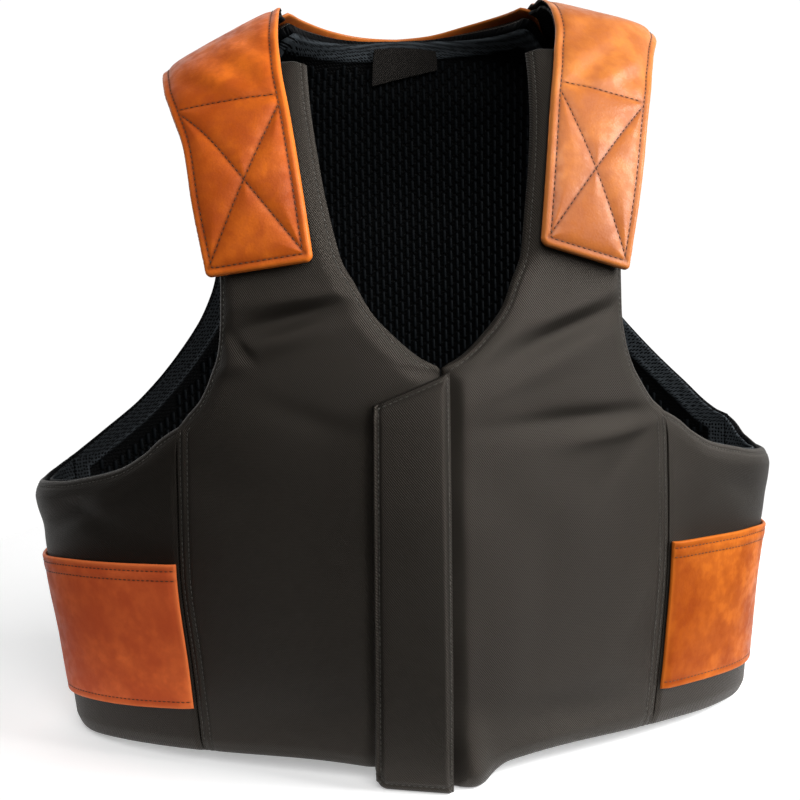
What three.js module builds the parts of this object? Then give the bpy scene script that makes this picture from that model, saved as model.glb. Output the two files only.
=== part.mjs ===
// A padded riding vest that stands on its hem, with its front towards -Y.
// Millimetres, +Z up. Right and left are the wearer's, so the left side is at +X.
// Every sheet follows one body form and is given a thickness along the form's normals.

import * as THREE from "three";

// Thicknesses and gaps
const PAD = 9.5;
const LINING = 2.5;
const LEATHER = 2;
const STRAP = 7;
const FLAP = 6;
const LABEL = 1;
const GAP = 0.5;
const LAID = 0.8;

// Softness of the padding: how far an edge is pinched in, and over what distance
const PINCH = 4;
const PINCH_BAND = 16;

// Turns round the body in degrees, 0 at the front and 90 at the side, and the width of one degree
const BACK_SEAM = 108;
const POCKET_FRONT_LOW = 51.4;
const POCKET_FRONT_HIGH = 49.2;
const POCKET_BACK = 106;
const SIDE_STEP = 2.4;

// How many rows and columns of quads each sheet has; the yoke lies on the back panel's top rows
const GRID = {
  front: { rows: 26, columns: 10 },
  side: { rows: 9, columns: 12 },
  back: { rows: 20, columns: 18 },
  yoke: { rows: 3, columns: 18 },
  strap: { rows: 20, columns: 6 },
  strapLining: { rows: 12, columns: 4 },
  pocket: { rows: 7, columns: 14 },
  flap: { rows: 18, columns: 6 },
  label: { rows: 3, columns: 6 },
};

// Shares: how far grid lines crowd to the edges, and a front panel's rows to its ends; a strap's rows
// in front of the shoulder ridge; a lining's height left out above the hem; a strap's width that its
// lining takes up; and the back's half width that lies behind the neck
const EDGE_CROWDING = 0.8;
const END_CROWDING = 0.3;
const STRAP_FRONT_SHARE = 0.75;
const LINING_START = 0.03;
const STRAP_LINING_FROM = 0.03;
const STRAP_LINING_TO = 0.92;
const NECK_SHARE = 0.57;

// Lengths along the vest, the sideways place of the closure, and the roundness of the back
const CENTRE = 4;
const BACK_WEDGE = 1.9;
const V_POINT = 241;
const V_FADE = 340;
const FRONT_TOP = 410;
const NECK_TOP = 446;
const YOKE_TOP = 448;
const SEAM_TOP = 209;
const SHOULDER = 405;
const SHOULDER_FOOT = 210;
const LEVEL_BAND = 30;
const CENTRE_BAND = 30;
const BACK_LAP = 8;
const PANEL_LAP = 5;
const TAB_NECK_END = 304;
const TAB_ARM_END = 292;
const STRAP_ROUND = 2.5;
const STRAP_BAND = 8;
const FLAP_LEFT = -31.5;
const FLAP_RIGHT = 8;
const FLAP_TOP_LEFT = 223;
const FLAP_TOP_RIGHT = 240;
const FLAP_CORNER = 7;
const FLAP_FOLD = 2;
const FLAP_BAND = 10;
const LABEL_MIDDLE = 4;
const LABEL_WIDTH = 48;
const LABEL_TOP = 441;
const LABEL_BOTTOM = 421;
const LABEL_GAP = 1.2;

// The body form, one row for each level: half widths, where the widest line lies in depth,
// depth in front of it and behind it, and how wedge-like the front is (1 a wedge, 2 an oval)
const FORM = [
  { z: -40, right: 224, left: 218, middle: 26, front: 128, back: 78, wedge: 1.0 },
  { z: 0, right: 228, left: 222, middle: 26, front: 131, back: 80, wedge: 1.0 },
  { z: 60, right: 234, left: 227, middle: 26, front: 135, back: 82, wedge: 1.05 },
  { z: 120, right: 241, left: 233, middle: 27, front: 138, back: 84, wedge: 1.1 },
  { z: 170, right: 247, left: 239, middle: 28, front: 140, back: 86, wedge: 1.2 },
  { z: 210, right: 247, left: 239, middle: 27, front: 139, back: 86, wedge: 1.35 },
  { z: 260, right: 239, left: 234, middle: 22, front: 132, back: 88, wedge: 1.55 },
  { z: 310, right: 221, left: 221, middle: 15, front: 119, back: 92, wedge: 1.8 },
  { z: 350, right: 199, left: 203, middle: 9, front: 103, back: 95, wedge: 2 },
  { z: 385, right: 172, left: 181, middle: 3, front: 82, back: 95, wedge: 2 },
  { z: 410, right: 145, left: 159, middle: 0, front: 65, back: 93, wedge: 2 },
  { z: 430, right: 110, left: 136, middle: 0, front: 51, back: 91, wedge: 2 },
  { z: 447, right: 78, left: 90, middle: 0, front: 38, back: 88, wedge: 2 },
  { z: 465, right: 46, left: 48, middle: 0, front: 24, back: 84, wedge: 2 },
  { z: 500, right: 20, left: 20, middle: 0, front: 14, back: 76, wedge: 2 },
];

// The edge of a front panel along the closure and the neck
const NECK_EDGE = [
  { z: 0, x: 0 },
  { z: 241, x: 0 },
  { z: 247, x: 10 },
  { z: 256, x: 21 },
  { z: 273, x: 36 },
  { z: 288, x: 43 },
  { z: 301, x: 49 },
  { z: 323, x: 53 },
  { z: 353, x: 57.5 },
  { z: 390, x: 61.5 },
  { z: 412, x: 62.5 },
];

// The edge of a front panel along the side seam and the armhole
const ARM_EDGE = [
  { z: 0, right: 136, left: 131 },
  { z: 100, right: 139, left: 134 },
  { z: 209, right: 142, left: 137 },
  { z: 215, right: 138, left: 132 },
  { z: 224, right: 130, left: 126 },
  { z: 238, right: 123, left: 117 },
  { z: 252, right: 118, left: 111 },
  { z: 268, right: 116, left: 107 },
  { z: 292, right: 115, left: 106 },
  { z: 329, right: 118, left: 110 },
  { z: 360, right: 121, left: 115 },
  { z: 384, right: 126, left: 122 },
  { z: 412, right: 128, left: 127 },
];

// The edge of the back panel along the armhole
const BACK_EDGE = [
  { z: 165, right: 246, left: 238 },
  { z: 172, right: 234, left: 226 },
  { z: 187, right: 213, left: 214 },
  { z: 207, right: 187, left: 192 },
  { z: 237, right: 160, left: 165 },
  { z: 265, right: 141, left: 144 },
  { z: 288, right: 132, left: 133 },
  { z: 320, right: 127, left: 128 },
  { z: 355, right: 128, left: 129 },
  { z: 385, right: 132, left: 132 },
  { z: 412, right: 136, left: 134 },
];

// The armhole edge of a side panel by the share of the way from its front seam to its back seam
const SIDE_TOP = [
  { across: 0, z: 209 },
  { across: 0.05, z: 202 },
  { across: 0.09, z: 194 },
  { across: 0.165, z: 184 },
  { across: 0.275, z: 177 },
  { across: 0.4, z: 171 },
  { across: 0.72, z: 164 },
  { across: 0.88, z: 167 },
  { across: 1, z: 172 },
];

// How far the hem stands off the floor by its turn round the body
const HEM = [
  { turn: 0, z: 0 },
  { turn: 18, z: 0.3 },
  { turn: 25, z: 8 },
  { turn: 36, z: 10 },
  { turn: 50, z: 8 },
  { turn: 68, z: 4 },
  { turn: 84, z: 0 },
  { turn: 180, z: 0 },
];

// How the rows of the back panel's grid share its height, closer at the foot of the armholes,
// and how its columns share its half width, closer where the straps begin
const BACK_ROW_GRID = [
  { row: 0, share: 0 },
  { row: 0.35, share: 0.405 },
  { row: 0.55, share: 0.5 },
  { row: 1, share: 1 },
];
const BACK_COLUMN_GRID = [
  { column: 0, share: 0 },
  { column: 4 / 9, share: 0.553 },
  { column: 5 / 9, share: 0.588 },
  { column: 1, share: 1 },
];

// A shoulder strap from its front tab (-1) over the ridge of the shoulder (0) to the back (1)
const STRAP_EDGES = [
  { along: -1, neckRight: 61.5, armRight: 118, neckLeft: 60, armLeft: 107.5 },
  { along: -0.85, neckRight: 66.5, armRight: 121.5, neckLeft: 65, armLeft: 113 },
  { along: -0.7, neckRight: 71, armRight: 125, neckLeft: 70, armLeft: 119 },
  { along: -0.55, neckRight: 75, armRight: 133, neckLeft: 75, armLeft: 127 },
  { along: -0.4, neckRight: 77, armRight: 139.5, neckLeft: 78, armLeft: 134 },
  { along: -0.2, neckRight: 78, armRight: 143.5, neckLeft: 79, armLeft: 139 },
  { along: 0, neckRight: 78, armRight: 145, neckLeft: 79, armLeft: 139 },
  { along: 0.5, neckRight: 78.5, armRight: 143, neckLeft: 79, armLeft: 138 },
  { along: 1, neckRight: 79, armRight: 140, neckLeft: 79, armLeft: 137 },
];

// The edges of a pocket patch by the share of the way from its front edge to its back edge
const POCKET = [
  { across: 0, bottom: 38, top: 128 },
  { across: 0.35, bottom: 31, top: 123 },
  { across: 0.7, bottom: 26, top: 117 },
  { across: 1, bottom: 26, top: 117 },
];

// Soft dents (depth below 0) and swells of the cloth: middle, direction, half length, half width
const FOLDS = [
  { x: -88, z: 272, angle: 4, length: 34, width: 9, depth: -3 },
  { x: -80, z: 252, angle: -8, length: 30, width: 9, depth: 2 },
  { x: 86, z: 262, angle: 16, length: 38, width: 9, depth: -3.5 },
  { x: 82, z: 243, angle: 18, length: 36, width: 9, depth: 2.5 },
  { x: 76, z: 206, angle: 20, length: 40, width: 10, depth: -2.5 },
  { x: -70, z: 40, angle: 8, length: 40, width: 12, depth: -2 },
  { x: 80, z: 34, angle: -6, length: 40, width: 12, depth: -2 },
  { x: -222, z: 148, angle: 35, length: 22, width: 8, depth: -4 },
];

// Finishes
const twill = { color: "#2e2a27", roughness: 0.85, metalness: 0 };
const leather = { color: "#b5602c", roughness: 0.5, metalness: 0 };
const lining = { color: "#15161a", roughness: 0.9, metalness: 0 };
const labelTape = { color: "#1b1b1d", roughness: 0.7, metalness: 0 };

const clamp = THREE.MathUtils.clamp;
const lerp = THREE.MathUtils.lerp;
const smooth = THREE.MathUtils.smoothstep;
const radians = THREE.MathUtils.degToRad;
const eased = (t) => lerp(t, 0.5 - 0.5 * Math.cos(Math.PI * t), EDGE_CROWDING);

// A smooth curve through a table's rows that never swings past them
function curve(rows, key, column) {
  const at = rows.map((row) => row[key]);
  const value = rows.map((row) => row[column]);
  const step = at.slice(1).map((a, i) => a - at[i]);
  const slope = step.map((s, i) => (value[i + 1] - value[i]) / s);
  const lean = at.map((_, i) => {
    if (i === 0) return slope[0];
    if (i === at.length - 1) return slope[i - 1];
    if (slope[i - 1] * slope[i] <= 0) return 0;
    return (2 * slope[i - 1] * slope[i]) / (slope[i - 1] + slope[i]);
  });
  return (a) => {
    const x = clamp(a, at[0], at[at.length - 1]);
    let i = 0;
    while (i < step.length - 1 && x > at[i + 1]) i += 1;
    const t = (x - at[i]) / step[i];
    const rise = value[i + 1] - value[i];
    const first = lean[i] * step[i];
    const last = lean[i + 1] * step[i];
    return value[i] + t * (first + t * (3 * rise - 2 * first - last + t * (first + last - 2 * rise)));
  };
}

// A pair of curves, one for each side of the vest
function pair(rows, key, right, left) {
  const rightCurve = curve(rows, key, right);
  const leftCurve = curve(rows, key, left);
  return (a, side) => (side < 0 ? rightCurve(a) : leftCurve(a));
}

const half = pair(FORM, "z", "right", "left");
const middle = curve(FORM, "z", "middle");
const front = curve(FORM, "z", "front");
const back = curve(FORM, "z", "back");
const wedge = curve(FORM, "z", "wedge");
const neckEdge = curve(NECK_EDGE, "z", "x");
const armEdge = pair(ARM_EDGE, "z", "right", "left");
const backArm = pair(BACK_EDGE, "z", "right", "left");
const sideTop = curve(SIDE_TOP, "across", "z");
const hem = curve(HEM, "turn", "z");
const backRow = curve(BACK_ROW_GRID, "row", "share");
const backColumn = curve(BACK_COLUMN_GRID, "column", "share");
const strapNeck = pair(STRAP_EDGES, "along", "neckRight", "neckLeft");
const strapArm = pair(STRAP_EDGES, "along", "armRight", "armLeft");
const pocketBottom = curve(POCKET, "across", "bottom");
const pocketTop = curve(POCKET, "across", "top");

// The height of the shoulder ridge at a distance from the middle
const shoulders = FORM.filter((row) => row.z >= SHOULDER_FOOT).reverse();
const ridgeRight = curve(shoulders, "right", "z");
const ridgeLeft = curve(shoulders, "left", "z");
const ridge = (x, side) => (side < 0 ? ridgeRight(x) : ridgeLeft(x));

const centreOf = (behind) => (behind ? 0 : CENTRE);
const wedgeOf = (z, behind) => (behind ? BACK_WEDGE : wedge(z));
const depthOf = (z, behind) => (behind ? back(z) : front(z));

// How far a point is out to its side, 0 on the centre line and 1 on the widest line
function share(x, z, behind) {
  const centre = centreOf(behind);
  const side = x > centre ? 1 : -1;
  return (side * (x - centre)) / (half(z, side) - side * centre);
}

// The turn round the body, in degrees, of a point at x
function turnAt(x, z, behind) {
  const out = clamp(share(x, z, behind), 0, 1) ** (wedgeOf(z, behind) / 2);
  const turn = THREE.MathUtils.radToDeg(Math.asin(out));
  return behind ? 180 - turn : turn;
}

// A value that is 0 on the form and grows outwards
function level(x, y, z) {
  const deep = y - middle(z);
  const behind = deep > 0;
  return share(x, z, behind) ** wedgeOf(z, behind) + (deep / depthOf(z, behind)) ** 2 - 1;
}

// The form's outward direction, turned level near the floor so that the hem stays flat,
// and straight ahead at the closure so that the front edges meet squarely
function outward(x, y, z) {
  const tiny = 0.05;
  const normal = new THREE.Vector3(
    level(x + tiny, y, z) - level(x - tiny, y, z),
    level(x, y + tiny, z) - level(x, y - tiny, z),
    level(x, y, z + tiny) - level(x, y, z - tiny),
  );
  normal.z *= smooth(z, 0, LEVEL_BAND);
  if (y < middle(z)) normal.x *= smooth(Math.abs(x - CENTRE), 0, CENTRE_BAND);
  return normal.normalize();
}

function placeAt(x, y, z) {
  return { point: new THREE.Vector3(x, y, z), normal: outward(x, y, z), edge: Infinity };
}

// A place on the form at x and z, on the front or behind
function onForm(x, z, behind) {
  const out = clamp(share(x, z, behind), 0, 1) ** wedgeOf(z, behind);
  const deep = depthOf(z, behind) * Math.sqrt(1 - out);
  return placeAt(x, middle(z) + (behind ? deep : -deep), z);
}

// A place on the form at a turn round the body
function onTurn(turn, z, side) {
  const behind = turn > 90;
  const centre = centreOf(behind);
  const out = Math.sin(radians(turn)) ** (2 / wedgeOf(z, behind));
  const x = centre + side * (half(z, side) - side * centre) * out;
  return placeAt(x, middle(z) - depthOf(z, behind) * Math.cos(radians(turn)), z);
}

// The rise of the cloth from its folds at a place
function foldRise(point) {
  let rise = 0;
  for (const fold of FOLDS) {
    const across = point.x - fold.x;
    const up = point.z - fold.z;
    const along = across * Math.cos(radians(fold.angle)) + up * Math.sin(radians(fold.angle));
    const aside = up * Math.cos(radians(fold.angle)) - across * Math.sin(radians(fold.angle));
    rise += fold.depth * Math.exp(-((along / fold.length) ** 2) - (aside / fold.width) ** 2);
  }
  return point.y < middle(point.z) ? rise : 0;
}

// The outer face of a padded panel: pinched at its edges and dented by the folds
function padTop({ point, edge }) {
  const inside = smooth(edge, 0, PINCH_BAND);
  return foldRise(point) * inside - PINCH * (1 - inside);
}

// A closed sheet over a grid of places, from one height to another along the normals
function sheet(name, finish, { rows, columns }, place, from, to) {
  const outer = [];
  const inner = [];
  for (let i = 0; i <= rows; i += 1) {
    for (let j = 0; j <= columns; j += 1) {
      const spot = place(i / rows, j / columns);
      outer.push(spot.point.clone().addScaledVector(spot.normal, to(spot)));
      inner.push(spot.point.clone().addScaledVector(spot.normal, from(spot)));
    }
  }
  const points = outer.concat(inner);
  const count = outer.length;
  const at = (i, j) => i * (columns + 1) + j;
  const faces = [];
  const quad = (a, b, c, d) => faces.push(a, b, c, a, c, d);
  for (let i = 0; i < rows; i += 1) {
    for (let j = 0; j < columns; j += 1) {
      const ring = [at(i, j), at(i, j + 1), at(i + 1, j + 1), at(i + 1, j)];
      const [a, b, c, d] = ring.map((k) => outer[k]);
      if (b.distanceTo(d) < a.distanceTo(c)) ring.push(ring.shift());
      quad(...ring);
      quad(ring[0] + count, ring[3] + count, ring[2] + count, ring[1] + count);
    }
  }
  const wall = (a, b) => quad(b, a, a + count, b + count);
  for (let j = 0; j < columns; j += 1) {
    wall(at(0, j), at(0, j + 1));
    wall(at(rows, j + 1), at(rows, j));
  }
  for (let i = 0; i < rows; i += 1) {
    wall(at(i + 1, 0), at(i, 0));
    wall(at(i, columns), at(i + 1, columns));
  }
  let volume = 0;
  for (let k = 0; k < faces.length; k += 3) {
    const [a, b, c] = [points[faces[k]], points[faces[k + 1]], points[faces[k + 2]]];
    volume += a.dot(b.clone().cross(c));
  }
  const geometry = new THREE.BufferGeometry().setFromPoints(points);
  geometry.setIndex(volume > 0 ? faces : faces.reverse());
  geometry.computeVertexNormals();
  const solid = new THREE.Mesh(geometry, new THREE.MeshStandardMaterial(finish));
  solid.name = name;
  return solid;
}

// The closure and neck edge of a front panel; below the V it is the centre line
function frontInner(z, side) {
  const lean = CENTRE * (1 - smooth(z, V_POINT, V_FADE));
  return side * (neckEdge(z) + GAP / 2) + lean;
}

function frontOuter(z, side) {
  return side * (armEdge(z, side) - GAP / 2);
}

function frontPanel(name, side) {
  const place = (u, v) => {
    const across = eased(v);
    const low = hem(turnAt(lerp(frontInner(0, side), frontOuter(0, side), across), 0, false));
    const z = lerp(low, FRONT_TOP, lerp(u, eased(u), END_CROWDING));
    const inner = frontInner(z, side);
    const outer = frontOuter(z, side);
    const spot = onForm(lerp(inner, outer, across), z, false);
    const reach = Math.abs(outer - inner);
    spot.edge = Math.min(across * reach, (1 - across) * reach, z - low, FRONT_TOP - z);
    return spot;
  };
  return sheet(name, twill, GRID.front, place, () => -PAD, padTop);
}

// The turn of the seam between a front panel and a side panel
function seamTurn(z, side) {
  return turnAt(side * (armEdge(Math.min(z, SEAM_TOP), side) + GAP / 2), z, false);
}

// A place on a side panel at a turn, with its distance from the two seams
function onSide(turn, z, side) {
  const spot = onTurn(turn, z, side);
  spot.edge = Math.min(turn - seamTurn(z, side), BACK_SEAM - turn) * SIDE_STEP;
  return spot;
}

// Side panels run from the front seam to the back seam, under the armhole
function sidePlace(side) {
  return (u, v) => {
    const across = eased(v);
    const low = hem(lerp(seamTurn(0, side), BACK_SEAM, across));
    const high = sideTop(across);
    const z = lerp(low, high, eased(u));
    const spot = onSide(lerp(seamTurn(z, side), BACK_SEAM, across), z, side);
    spot.edge = Math.min(spot.edge, z - low, high - z);
    return spot;
  };
}

function sidePanel(name, side) {
  return sheet(name, twill, GRID.side, sidePlace(side), () => -PAD, padTop);
}

const liningFrom = () => -(PAD + LAID + LINING);
const liningTo = () => -(PAD + LAID);

function sideLining(name, side) {
  const panel = sidePlace(side);
  const place = (u, v) => panel(Math.max(u, LINING_START), v);
  return sheet(name, lining, GRID.side, place, liningFrom, liningTo);
}

// The edge of the back panel: the side seam up to the armhole, and then the armhole
function backEdge(z, side) {
  const seam = half(z, side) * Math.sin(radians(BACK_SEAM)) ** (2 / BACK_WEDGE);
  return Math.min(seam, backArm(z, side));
}

// The share of the way from the middle of the back to its edge
function backShare(v) {
  return Math.sign(v - 0.5) * backColumn(Math.abs(2 * v - 1));
}

// The height below the shoulder ridge at a share of the back's half width
function underRidge(across, lap) {
  const side = Math.sign(across) || 1;
  return ridge(Math.abs(across) * backEdge(SHOULDER, side), side) - lap;
}

function backPlace(u, v) {
  const across = backShare(v);
  const high = Math.min(NECK_TOP, underRidge(across, PANEL_LAP));
  const z = high * backRow(u);
  const reach = backEdge(z, across) - GAP / 2;
  const spot = onForm(across * reach, z, true);
  spot.edge = Math.min((1 - Math.abs(across)) * reach, z, high - z);
  return spot;
}

function backPanel() {
  return sheet("back_panel", twill, GRID.back, backPlace, () => -PAD, padTop);
}

function backLining() {
  const place = (u, v) => backPlace(Math.max(u, LINING_START), v);
  return sheet("back_lining", lining, GRID.back, place, liningFrom, liningTo);
}

// A place under a shoulder strap; the drops are how far its ends lie below the ridge
function strapPlace(side, dropFront, dropBack) {
  return (u, across) => {
    const past = u - STRAP_FRONT_SHARE;
    const along = past / (past < 0 ? STRAP_FRONT_SHARE : 1 - STRAP_FRONT_SHARE);
    const neck = strapNeck(along, side);
    const arm = strapArm(along, side);
    const x = lerp(neck, arm, across);
    const drop = along < 0 ? dropFront(x, across) : dropBack;
    const spot = onForm(side * x, ridge(x, side) - drop * along * along, along > 0);
    spot.edge = Math.min(across, 1 - across) * (arm - neck);
    return spot;
  };
}

function shoulderStrap(name, side) {
  const tabDrop = (x, across) => ridge(x, side) - lerp(TAB_NECK_END, TAB_ARM_END, across);
  const place = strapPlace(side, tabDrop, BACK_LAP);
  const top = ({ edge }) => GAP + STRAP - STRAP_ROUND * (1 - smooth(edge, 0, STRAP_BAND));
  return sheet(name, leather, GRID.strap, (u, v) => place(u, eased(v)), () => GAP, top);
}

// The lining under a strap fills the way from the front panel's end to the back panel's top
function strapLining(name, side) {
  const strap = strapPlace(side, (x) => ridge(x, side) - FRONT_TOP - GAP, PANEL_LAP - GAP);
  const place = (u, v) => strap(u, lerp(STRAP_LINING_FROM, STRAP_LINING_TO, v));
  return sheet(name, lining, GRID.strapLining, place, () => -LINING - GAP, () => -GAP);
}

// Leather over the upper back; behind the neck its top edge stands a little above the back panel
function backYoke() {
  const place = (u, v) => {
    const spot = backPlace(lerp(1 - GRID.yoke.rows / GRID.back.rows, 1, u), v);
    if (u < 1) return spot;
    const across = backShare(v);
    const z = Math.abs(across) < NECK_SHARE ? YOKE_TOP : underRidge(across, BACK_LAP + GAP);
    return onForm(across * (backEdge(z, across) - GAP / 2), z, true);
  };
  return sheet("back_yoke", leather, GRID.yoke, place, () => LAID, () => LAID + LEATHER);
}

// A leather patch on each side panel
function sidePocket(name, side) {
  const place = (u, v) => {
    const start = lerp(POCKET_FRONT_LOW, POCKET_FRONT_HIGH, u);
    return onSide(lerp(start, POCKET_BACK, v), lerp(pocketBottom(v), pocketTop(v), u), side);
  };
  const low = (spot) => padTop(spot) + LAID;
  return sheet(name, leather, GRID.pocket, place, low, (spot) => low(spot) + LEATHER);
}

// The closure flap lies over the front edges from the V down to the floor
function closureFlap() {
  const place = (u, v) => {
    const across = eased(v);
    const x = lerp(FLAP_LEFT, FLAP_RIGHT, across);
    const low = FLAP_CORNER * (1 - smooth(x - FLAP_LEFT, 0, FLAP_CORNER));
    const high = lerp(FLAP_TOP_LEFT, FLAP_TOP_RIGHT, across);
    const spot = onForm(x, lerp(low, high, u), false);
    spot.edge = FLAP_RIGHT - x;
    return spot;
  };
  const top = ({ edge }) => GAP + lerp(FLAP_FOLD, FLAP, smooth(edge, 0, FLAP_BAND));
  return sheet("closure_flap", twill, GRID.flap, place, () => GAP, top);
}

// A blank label inside the back of the neck
function neckLabel() {
  const inside = -(PAD + LAID + LINING + LABEL_GAP);
  const place = (u, v) => {
    const x = LABEL_MIDDLE + (v - 0.5) * LABEL_WIDTH;
    return onForm(x, lerp(LABEL_BOTTOM, LABEL_TOP, u), true);
  };
  return sheet("neck_label", labelTape, GRID.label, place, () => inside - LABEL, () => inside);
}

function vest() {
  const group = new THREE.Group();
  group.name = "equestrian_protective_vest";
  group.add(backPanel(), backLining(), backYoke(), closureFlap(), neckLabel());
  for (const [word, side] of [["right", -1], ["left", 1]]) {
    group.add(
      frontPanel(`front_panel_${word}`, side),
      sidePanel(`side_panel_${word}`, side),
      sideLining(`side_lining_${word}`, side),
      sidePocket(`side_pocket_${word}`, side),
      shoulderStrap(`shoulder_strap_${word}`, side),
      strapLining(`strap_lining_${word}`, side),
    );
  }
  const box = new THREE.Box3().setFromObject(group);
  const centre = box.getCenter(new THREE.Vector3());
  for (const solid of group.children) {
    solid.geometry.translate(-centre.x, -centre.y, -box.min.z);
  }
  return group;
}

export default vest();
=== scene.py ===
# The looks of a padded riding vest: twill panels, leather straps and patches, a ribbed mesh lining.
# Right and left are the wearer's. Tables and sizes are in millimetres on the vest's body form;
# the meshes are in metres in the shared frame.
import math
from collections import namedtuple

import bpy
import numpy as np
from mathutils import Matrix, Vector
from mathutils.kdtree import KDTree


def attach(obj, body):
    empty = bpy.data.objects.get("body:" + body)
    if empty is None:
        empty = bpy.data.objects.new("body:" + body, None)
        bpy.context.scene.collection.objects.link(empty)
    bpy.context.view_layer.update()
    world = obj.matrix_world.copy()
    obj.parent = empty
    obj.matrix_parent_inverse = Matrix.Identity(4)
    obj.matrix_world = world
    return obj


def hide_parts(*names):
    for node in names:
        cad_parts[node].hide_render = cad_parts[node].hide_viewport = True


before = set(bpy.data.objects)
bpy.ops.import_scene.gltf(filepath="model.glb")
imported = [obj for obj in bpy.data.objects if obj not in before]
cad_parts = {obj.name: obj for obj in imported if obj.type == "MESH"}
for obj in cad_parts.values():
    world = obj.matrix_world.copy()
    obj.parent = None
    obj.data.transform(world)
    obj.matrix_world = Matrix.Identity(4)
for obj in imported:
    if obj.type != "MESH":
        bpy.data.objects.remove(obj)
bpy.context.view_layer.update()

MM = 0.001
RIGHT, LEFT = -1, 1

# Thicknesses and gaps
PAD = 9.5
LINING = 2.5
LEATHER = 2.0
STRAP = 7.0
STRAP_FOLD = 3.0
FLAP = 6.0
LABEL = 1.0
GAP = 0.5
LAID = 0.8

# The body form: the front's centre line, how oval the back is, the turn of the back seam in degrees,
# the width of one degree, the shoulder and its foot, and the bands at the floor and at the closure
# where the form's normals are levelled
CENTRE = 4.0
BACK_WEDGE = 1.9
BACK_SEAM = 108.0
SIDE_STEP = 2.4
SHOULDER = 405.0
SHOULDER_FOOT = 210.0
LEVEL_BAND = 30.0
CENTRE_BAND = 30.0

# Each piece's grid: its rows and columns, and how far they crowd towards its edges
Grid = namedtuple("Grid", "rows columns row_crowd column_crowd")
GRID = {
    "front_panel": Grid(240, 90, 0.5, 1.0),
    "side_panel": Grid(110, 120, 0.9, 0.9),
    "back_panel": Grid(184, 152, 0.5, 0.9),
    "closure_flap": Grid(150, 56, 0.6, 1.0),
    "shoulder_strap": Grid(220, 80, 0.75, 1.0),
    "side_pocket": Grid(64, 90, 0.9, 0.8),
    "back_yoke": Grid(60, 120, 0.9, 0.9),
    "back_lining": Grid(152, 124, 0.5, 0.9),
    "side_lining": Grid(70, 80, 0.9, 0.9),
    "strap_lining": Grid(70, 32, 0.75, 1.0),
    "neck_label": Grid(24, 40, 1.0, 1.0),
}

# The panels: the point of the V, the level above it where the centre line's offset has faded, the
# panels' tops and the tops of their seams, the bands in which one kind of edge turns into the next,
# and the front's true width for its width in x
V_POINT = 241.0
V_FADE = 340.0
V_BELOW, V_ABOVE = 3.0, 5.0
FRONT_TOP = {RIGHT: 411.5, LEFT: 416.5}
SEAM_TOP, SEAM_BLEND = 209.0, 4.0
BACK_SEAM_TOP, BACK_SEAM_BLEND = 168.0, 8.0
FRONT_SLOPE = 1.16

# Rows of stitches: how far they stop short of the hem and of the back seams' tops, and how far above
# the V's point and the front seams' tops they change
ROW_CLEAR, ROW_CHANGE = 6.0, 2.0

# The back of the neck and shoulders: the step below the leather line, the laps of the yoke and of the
# panel behind the shoulder ridge, how far the strap covers the yoke, and the run of a lap from its
# least share at the neck
NECK_STEP = 1.2
BACK_LAP = 8.0
STRAP_OVER = 5.0
PANEL_LAP = 5.0
NECK_SIDE = 80.0
LAP_RUN = 24.0
LAP_LEAST = 0.1

# The yoke: the level of its lower edge at the arm, that edge as a share of its top, and how far below
# it the cloth turns plain and the armholes' stitches stop
YOKE_LOW = 340.0
YOKE_SHARE = 0.85
YOKE_COVER = (30.0, 15.0)
YOKE_CLEAR = 14.0

# The label in the neck
LABEL_MIDDLE = 4.0
LABEL_WIDTH = 48.0
LABEL_TOP = 441.0
LABEL_BOTTOM = 420.0
LABEL_SLANT = 10.0
LABEL_GAP = 1.2

# Edges of the padding: how far an edge is drawn in and over what distance, the radius that
# rounds it, and the rows of stitches along it
Edge = namedtuple("Edge", "pinch band round rows")
FREE_EDGE = Edge(2.6, 11.0, 4.5, (3.0,))
HEM_EDGE = Edge(2.6, 11.0, 4.5, ())
CLOSURE_EDGE = Edge(5.0, 13.0, 2.0, ())
LAPPED_EDGE = Edge(0.5, 4.0, 0.6, (2.2, 6.6))
SEAM_EDGE = Edge(0.9, 4.0, 0.6, ())
TUCKED_EDGE = Edge(1.0, 5.0, 1.8, ())

# Radii that round the rims of the other pieces
LEATHER_ROUND, STRAP_ROUND, LINING_ROUND, LABEL_ROUND = 1.1, 2.4, 1.2, 0.5

# Stitching: the dent that a row draws, its share on leather, and one stitch
DENT, DENT_WIDTH = 0.55, 1.1
LEATHER_DENT = 0.6
STITCH_PITCH, STITCH_LENGTH, STITCH_RADIUS = 3.3, 2.4, 0.32

# The swell of foam under the cloth, and the limits of its rise where it is open, at the sides, and
# where another piece lies on it
SWELL = 0.6
OPEN_LIMIT, SIDE_LIMIT, COVERED_LIMIT = 4.0, 3.0, 0.1

# The flap: the x of its free edge and of its sewn edge from bottom to top, the tops of both, its lower
# corner, the rows of stitches along its edges and their dent, the lip beside the first row, how it
# thins at its sewn edge and at its ends, its share of the foam's swell, and the radii of its rims
FLAP_FREE = (-36.0, -33.0)
FLAP_SEWN = (6.5, 8.0)
FLAP_TOP_FREE = 223.0
FLAP_TOP_SEWN = 240.0
FLAP_CORNER = 7.0
FLAP_ROWS = {"first": 3.6, "last": 1.5, "high": 2.6, "low": 4.5}
FLAP_DENT = 1.6
LIP_RISE, LIP_AT, LIP_WIDTH = 1.4, 1.5, 1.3
FLAP_FOLD, FLAP_FOLD_BAND = 3.4, 5.5
FLAP_END, FLAP_END_BAND = 1.8, 8.0
FLAP_SWELL = 0.5
FLAP_ROUND, FLAP_LOW_ROUND = 2.0, 3.5

# The crease that the flap's free edge presses into the panel below, and the levels where it runs out
CREASE, CREASE_WIDTH = 3.0, 4.0
CREASE_FADE = (210.0, 226.0)

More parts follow.
